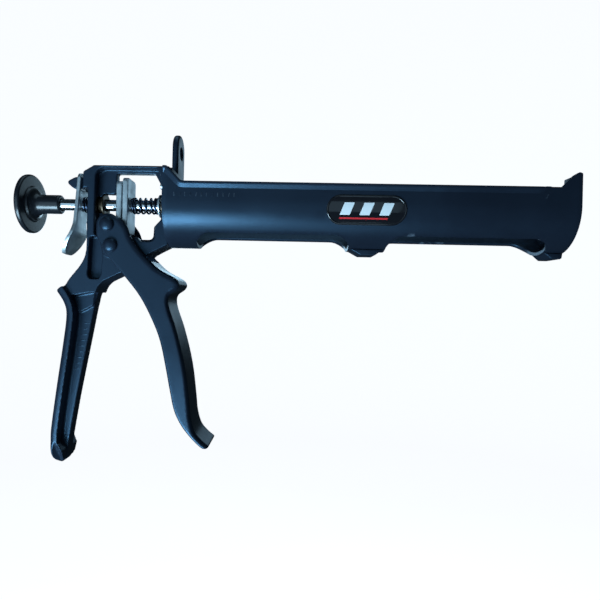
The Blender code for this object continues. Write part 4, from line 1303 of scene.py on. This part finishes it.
KNOB_RADIUS, KNOB_HUB, KNOB_SOCKET = 18.0, 5.8, 3.85
KNOB_FRONT, HUB_FRONT, SOCKET_REAR = -86.8, -69.0, -85.0


def make_knob():
    rear, front = span("pull_knob")[0].x + 0.02, KNOB_FRONT
    flare = [(front + 1.2 + (1.0 - math.cos(a)) * 5.0, KNOB_HUB + 5.2 * (1.0 - math.sin(a)), 0)
             for a in (0.08 * k for k in range(1, 17))]
    face = [(rear + 0.9, 0, 0), (rear + 0.9, 9.5, 0.4), (rear + 0.5, 10.2, 0.3),
            (rear, 11.4, 0.4), (rear, KNOB_RADIUS, 1.1), (front, KNOB_RADIUS, 1.1),
            (front, 11.0, 0.3)]
    hub = [(front + 9.0, KNOB_HUB, 0), (HUB_FRONT, KNOB_HUB, 1.0),
           (HUB_FRONT, KNOB_SOCKET, 0.2), (SOCKET_REAR, KNOB_SOCKET, 0), (SOCKET_REAR, 0, 0)]
    made = loose("turned_knob", turned(rounded(face + flare + hub, 6), segments=128))
    dress(made, knob_plastic, "knob_plastic", "rod", "pull_knob", sharp=30.0)


make_rod()
make_knob()

# %% [markdown]
# ### Piston
# The piston is a pressed disc with a ring groove and a hub, a washer, and a hexagon nut whose
# corners are chamfered by turning, as a real nut's are.

# %% Piston, washer and nut
ROD_BORE = 3.8
NUT_ACROSS = 13.0


def make_disc():
    rear, face = (corner.x for corner in span("piston_disc"))
    back = face - 2.5
    corners = [(face, 0, 0), (face, 5.0, 0.3), (face - 0.5, 5.6, 0.3), (face - 0.5, 9.4, 0.3),
               (face, 10.0, 0.3), (face, 15.98, 0.8), (back, 15.98, 0.4), (back, 7.0, 0.6),
               (rear, 7.0, 0.4), (rear, ROD_BORE, 0.2), (back - 0.25, ROD_BORE, 0),
               (back - 0.25, 0, 0)]
    made = loose("pressed_piston", turned(rounded(corners, 5)))
    dress(made, zinc_plate, "zinc_plate", "rod", "piston_disc", sharp=30.0)


def make_nut():
    rear, front = (corner.x for corner in span("piston_nut"))
    made = loose("hexagon_nut", cylinder(NUT_ACROSS / math.sqrt(3.0), rear, front, segments=6))
    profile = [(rear - 1.0, 0), (rear - 1.0, 5.6), (rear + 1.2, 8.0),
               (front - 1.2, 8.0), (front + 1.0, 5.6), (front + 1.0, 0)]
    carve(made, [("INTERSECT", turned(profile))])
    carve(made, [("DIFFERENCE", cylinder(ROD_BORE, rear - 5.0, front + 5.0))])
    dress(made, zinc_plate, "zinc_plate", "rod", "piston_nut", sharp=30.0)


def ring(name, node_name, inner, outer, ease, material, slot, body, centre=(0.0, 0.0, 0.0)):
    """A flat washer with eased corners, over the length of its solid."""
    low, high = span(node_name)
    corners = [(low.x, inner), (low.x, outer), (high.x, outer), (high.x, inner)]
    made = loose(name, turned(eased(corners, ease), centre=centre, segments=72))
    dress(made, material, slot, body, node_name, sharp=30.0)


make_disc()
make_nut()
ring("piston_ring", "piston_washer", ROD_BORE, 8.0, 0.15, zinc_plate, "zinc_plate", "rod")

# %% [markdown]
# ### Bushes, seat, washers and screws
# The rod runs in two collared bushes. Four pan-head screws hold cradle and casting together;
# each has a flat washer and a straight slot, a shape that needs one Boolean.

# %% Bushes, seat, washers and screws
BUSH_RADIUS, COLLAR_RADIUS, COLLAR_WIDTH = 5.2, 7.0, 1.0
SHANK_RADIUS, SCREW_HEAD, SLOT_HALF = 1.75, 3.2, 0.42


def make_bush(name, node_name):
    rear, front = (corner.x for corner in span(node_name))
    collar = front - COLLAR_WIDTH
    corners = [(rear, ROD_BORE), (rear, BUSH_RADIUS), (collar, BUSH_RADIUS),
               (collar, COLLAR_RADIUS), (front, COLLAR_RADIUS), (front, ROD_BORE)]
    made = loose(name, turned(eased(corners, 0.2), segments=80))
    dress(made, bronze, "bronze", "gun", node_name, sharp=30.0)


def make_screw(number, y, z):
    node_name = f"cradle_screw_{number}"
    tip, top = (corner.x for corner in span(node_name))
    corners = [(tip, 0, 0), (tip, SHANK_RADIUS, 0.3), (top - 2.0, SHANK_RADIUS, 0),
               (top - 2.0, SCREW_HEAD, 0.3), (top - 0.8, SCREW_HEAD, 0.5), (top, 2.1, 0.5),
               (top, 0, 0)]
    made = loose(f"slotted_screw_{number}",
                 turned(rounded(corners, 5), centre=(0.0, y, z), segments=64))
    turn = math.radians(20.0 + 47.0 * number)
    across = Vector((math.cos(turn), math.sin(turn)))
    side = Vector((-across.y, across.x))
    slot = [tuple(Vector((y, z)) + across * a * 5.0 + side * b * SLOT_HALF)
            for a, b in ((-1, -1), (1, -1), (1, 1), (-1, 1))]
    carve(made, [("DIFFERENCE", prism(slot, top - 0.9, top + 2.0, "X"))])
    dress(made, zinc_plate, "zinc_plate", "gun", node_name, sharp=30.0)


make_bush("front_bush", "front_rod_bush")
make_bush("rear_bush", "rear_rod_bush")
ring("spring_seat_ring", "spring_seat", ROD_BORE, COLLAR_RADIUS, 0.15, zinc_plate,
     "zinc_plate", "gun")
for number, (y, z) in enumerate(SCREWS, 1):
    make_screw(number, y, z)
    ring(f"flat_washer_{number}", f"screw_washer_{number}", SCREW_HOLE, 3.9, 0.15,
         zinc_plate, "zinc_plate", "gun", (0.0, y, z))

# %% [markdown]
# ## Drive plates
# Two thick plates ride on the rod and grip it when the trigger tilts them. They are stamped:
# one face has rolled-over edges and the other is crisp, which a Bevel on every edge comes close
# to.

# %% Drive plates
PLATE_SIDE_ROOM = 2.4


def make_plate(name, node_name):
    low, high = span(node_name)
    half = high.y - PLATE_SIDE_ROOM
    outline = rounded([(-half, low.z, 2.5), (-half, high.z, 2.5), (half, high.z, 2.5),
                       (half, low.z, 2.5)], 8)
    made = loose(name, prism(outline, low.x, high.x, "X"))
    carve(made, [("DIFFERENCE", cylinder(ROD + 0.3, low.x - 2.0, high.x + 2.0))])
    round_edges(made, 0.45, 4, 50.0)
    dress(made, zinc_plate, "zinc_plate", "drive_plates", node_name, sharp=30.0)


make_plate("rear_grip_plate", "drive_plate_rear")
make_plate("front_grip_plate", "drive_plate_front")

# %% [markdown]
# ## Release lever
# The lever is a strip of plate, bent near its lower end into a thumb pad. Its side outline
# follows the bend at full width; a second outline seen from the front trims it, and two holes
# let the rod and the casting's nose through.

# %% Release lever
LEVER_ON_ROD = -56.7
LEVER_TOP, LEVER_BEND, PAD_LENGTH = 18.8, -18.0, 14.5
LEVER_LEAN, PAD_SLOPE = math.radians(4.4), math.radians(28.0)
LEVER_HALF_SHEET = 0.98
PAD_HALF, NECK_HALF, NECK_ROUND = 10.98, 7.4, 3.0


def lever_line():
    """The middle of the sheet in X and Z, from the top over the bend to the pad's end."""
    lean = math.tan(LEVER_LEAN)
    top = (LEVER_ON_ROD + LEVER_TOP * lean, LEVER_TOP)
    bend = (LEVER_ON_ROD + LEVER_BEND * lean, LEVER_BEND)
    end = (bend[0] - PAD_LENGTH * math.sin(PAD_SLOPE), bend[1] - PAD_LENGTH * math.cos(PAD_SLOPE))
    return rounded([(*top, 0), (*bend, 9.0), (*end, 0)], 10)


def make_lever():
    line = lever_line()
    outline = offset_path(line, LEVER_HALF_SHEET) + offset_path(line, -LEVER_HALF_SHEET)[::-1]
    made = loose("thumb_lever", side_prism(outline, 13.0))
    low = line[-1][1] + 10.0
    flank = [(PAD_HALF - 0.6, low + 3.5), (NECK_HALF + 0.6, low + 7.5), (NECK_HALF, low + 10.0),
             *arc((NECK_HALF - NECK_ROUND, 15.4), NECK_ROUND, 0.0, 90.0, 10)]
    view = [*arc((0.0, low), PAD_HALF, 180.0, 360.0, 48), *flank,
            *[(-y, z) for y, z in flank[::-1]]]
    carve(made, [("INTERSECT", prism(view, -90.0, -40.0, "X"))])
    slot = rounded([(-5.6, 8.6, 0.8), (5.6, 8.6, 0.8), (5.6, 17.0, 0.8), (-5.6, 17.0, 0.8)], 5)
    carve(made, [("DIFFERENCE", cylinder(ROD + 0.6, -80.0, -40.0)),
                 ("DIFFERENCE", prism(slot, -80.0, -40.0, "X"))])
    round_edges(made, 0.3, 3, 50.0)
    dress(made, zinc_plate, "zinc_plate", "release_lever", "release_lever", sharp=30.0)


make_lever()

# %% [markdown]
# ## Springs
# A compression spring is a wire wound round a line, with its end turns closed. Rings of twelve
# points follow the helix and are joined into one tube. A curve with a bevel looks the same, but
# a mesh is ready to export. Each spring rests on the casting with its front end.

# %% Springs
COIL_STEPS, WIRE_SIDES = 48, 12
CLOSED_PITCH = 2.15


def coil(radius, wire, low, high, turns, dead):
    """A wire wound from low to high, with closed turns at both ends; wire is its radius."""
    rings = []
    travel = high - low - 2 * wire
    rise = CLOSED_PITCH * wire * dead
    for step in range(round(turns * COIL_STEPS) + 1):
        turn = step / COIL_STEPS
        if turn < dead:
            along = rise * turn / dead
        elif turn > turns - dead:
            along = travel - rise * (turns - turn) / dead
        else:
            along = rise + (travel - 2 * rise) * (turn - dead) / (turns - 2 * dead)
        angle = math.tau * turn
        ring = []
        for side in range(WIRE_SIDES):
            around = math.tau * side / WIRE_SIDES
            reach = radius + wire * math.cos(around)
            ring.append((low + wire + along + wire * math.sin(around),
                         reach * math.cos(angle), reach * math.sin(angle)))
        rings.append(ring)
    return loft(rings)


def make_spring(name, node_name, radius, wire, turns, dead):
    """A spring wound over the length of its solid, carried with the casting."""
    low, high = span(node_name)
    made = loose(name, coil(radius, wire, low.x + 0.01, high.x - 0.01, turns, dead))
    dress(made, blued_steel, "blued_steel", "gun", node_name, sharp=60.0)
    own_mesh(made)


make_spring("wound_return_spring", "return_spring", ROD + 1.0, 0.65, 6.5, 1.5)
make_spring("wound_release_spring", "release_spring", ROD + 0.9, 0.5, 3.0, 0.5)

# %% [markdown]
# ## Hidden pieces
# The pin through the knob and the bush inside the pivot are hardly seen. They stay as the plain
# solids and only get their finish.

# %% Carried solids
for name, material in (("knob_pin", bright_steel), ("pivot_bush", bronze)):
    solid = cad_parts[name]
    solid.data.materials.clear()
    solid.data.materials.append(material)
    print(name, "finished with", material.name)
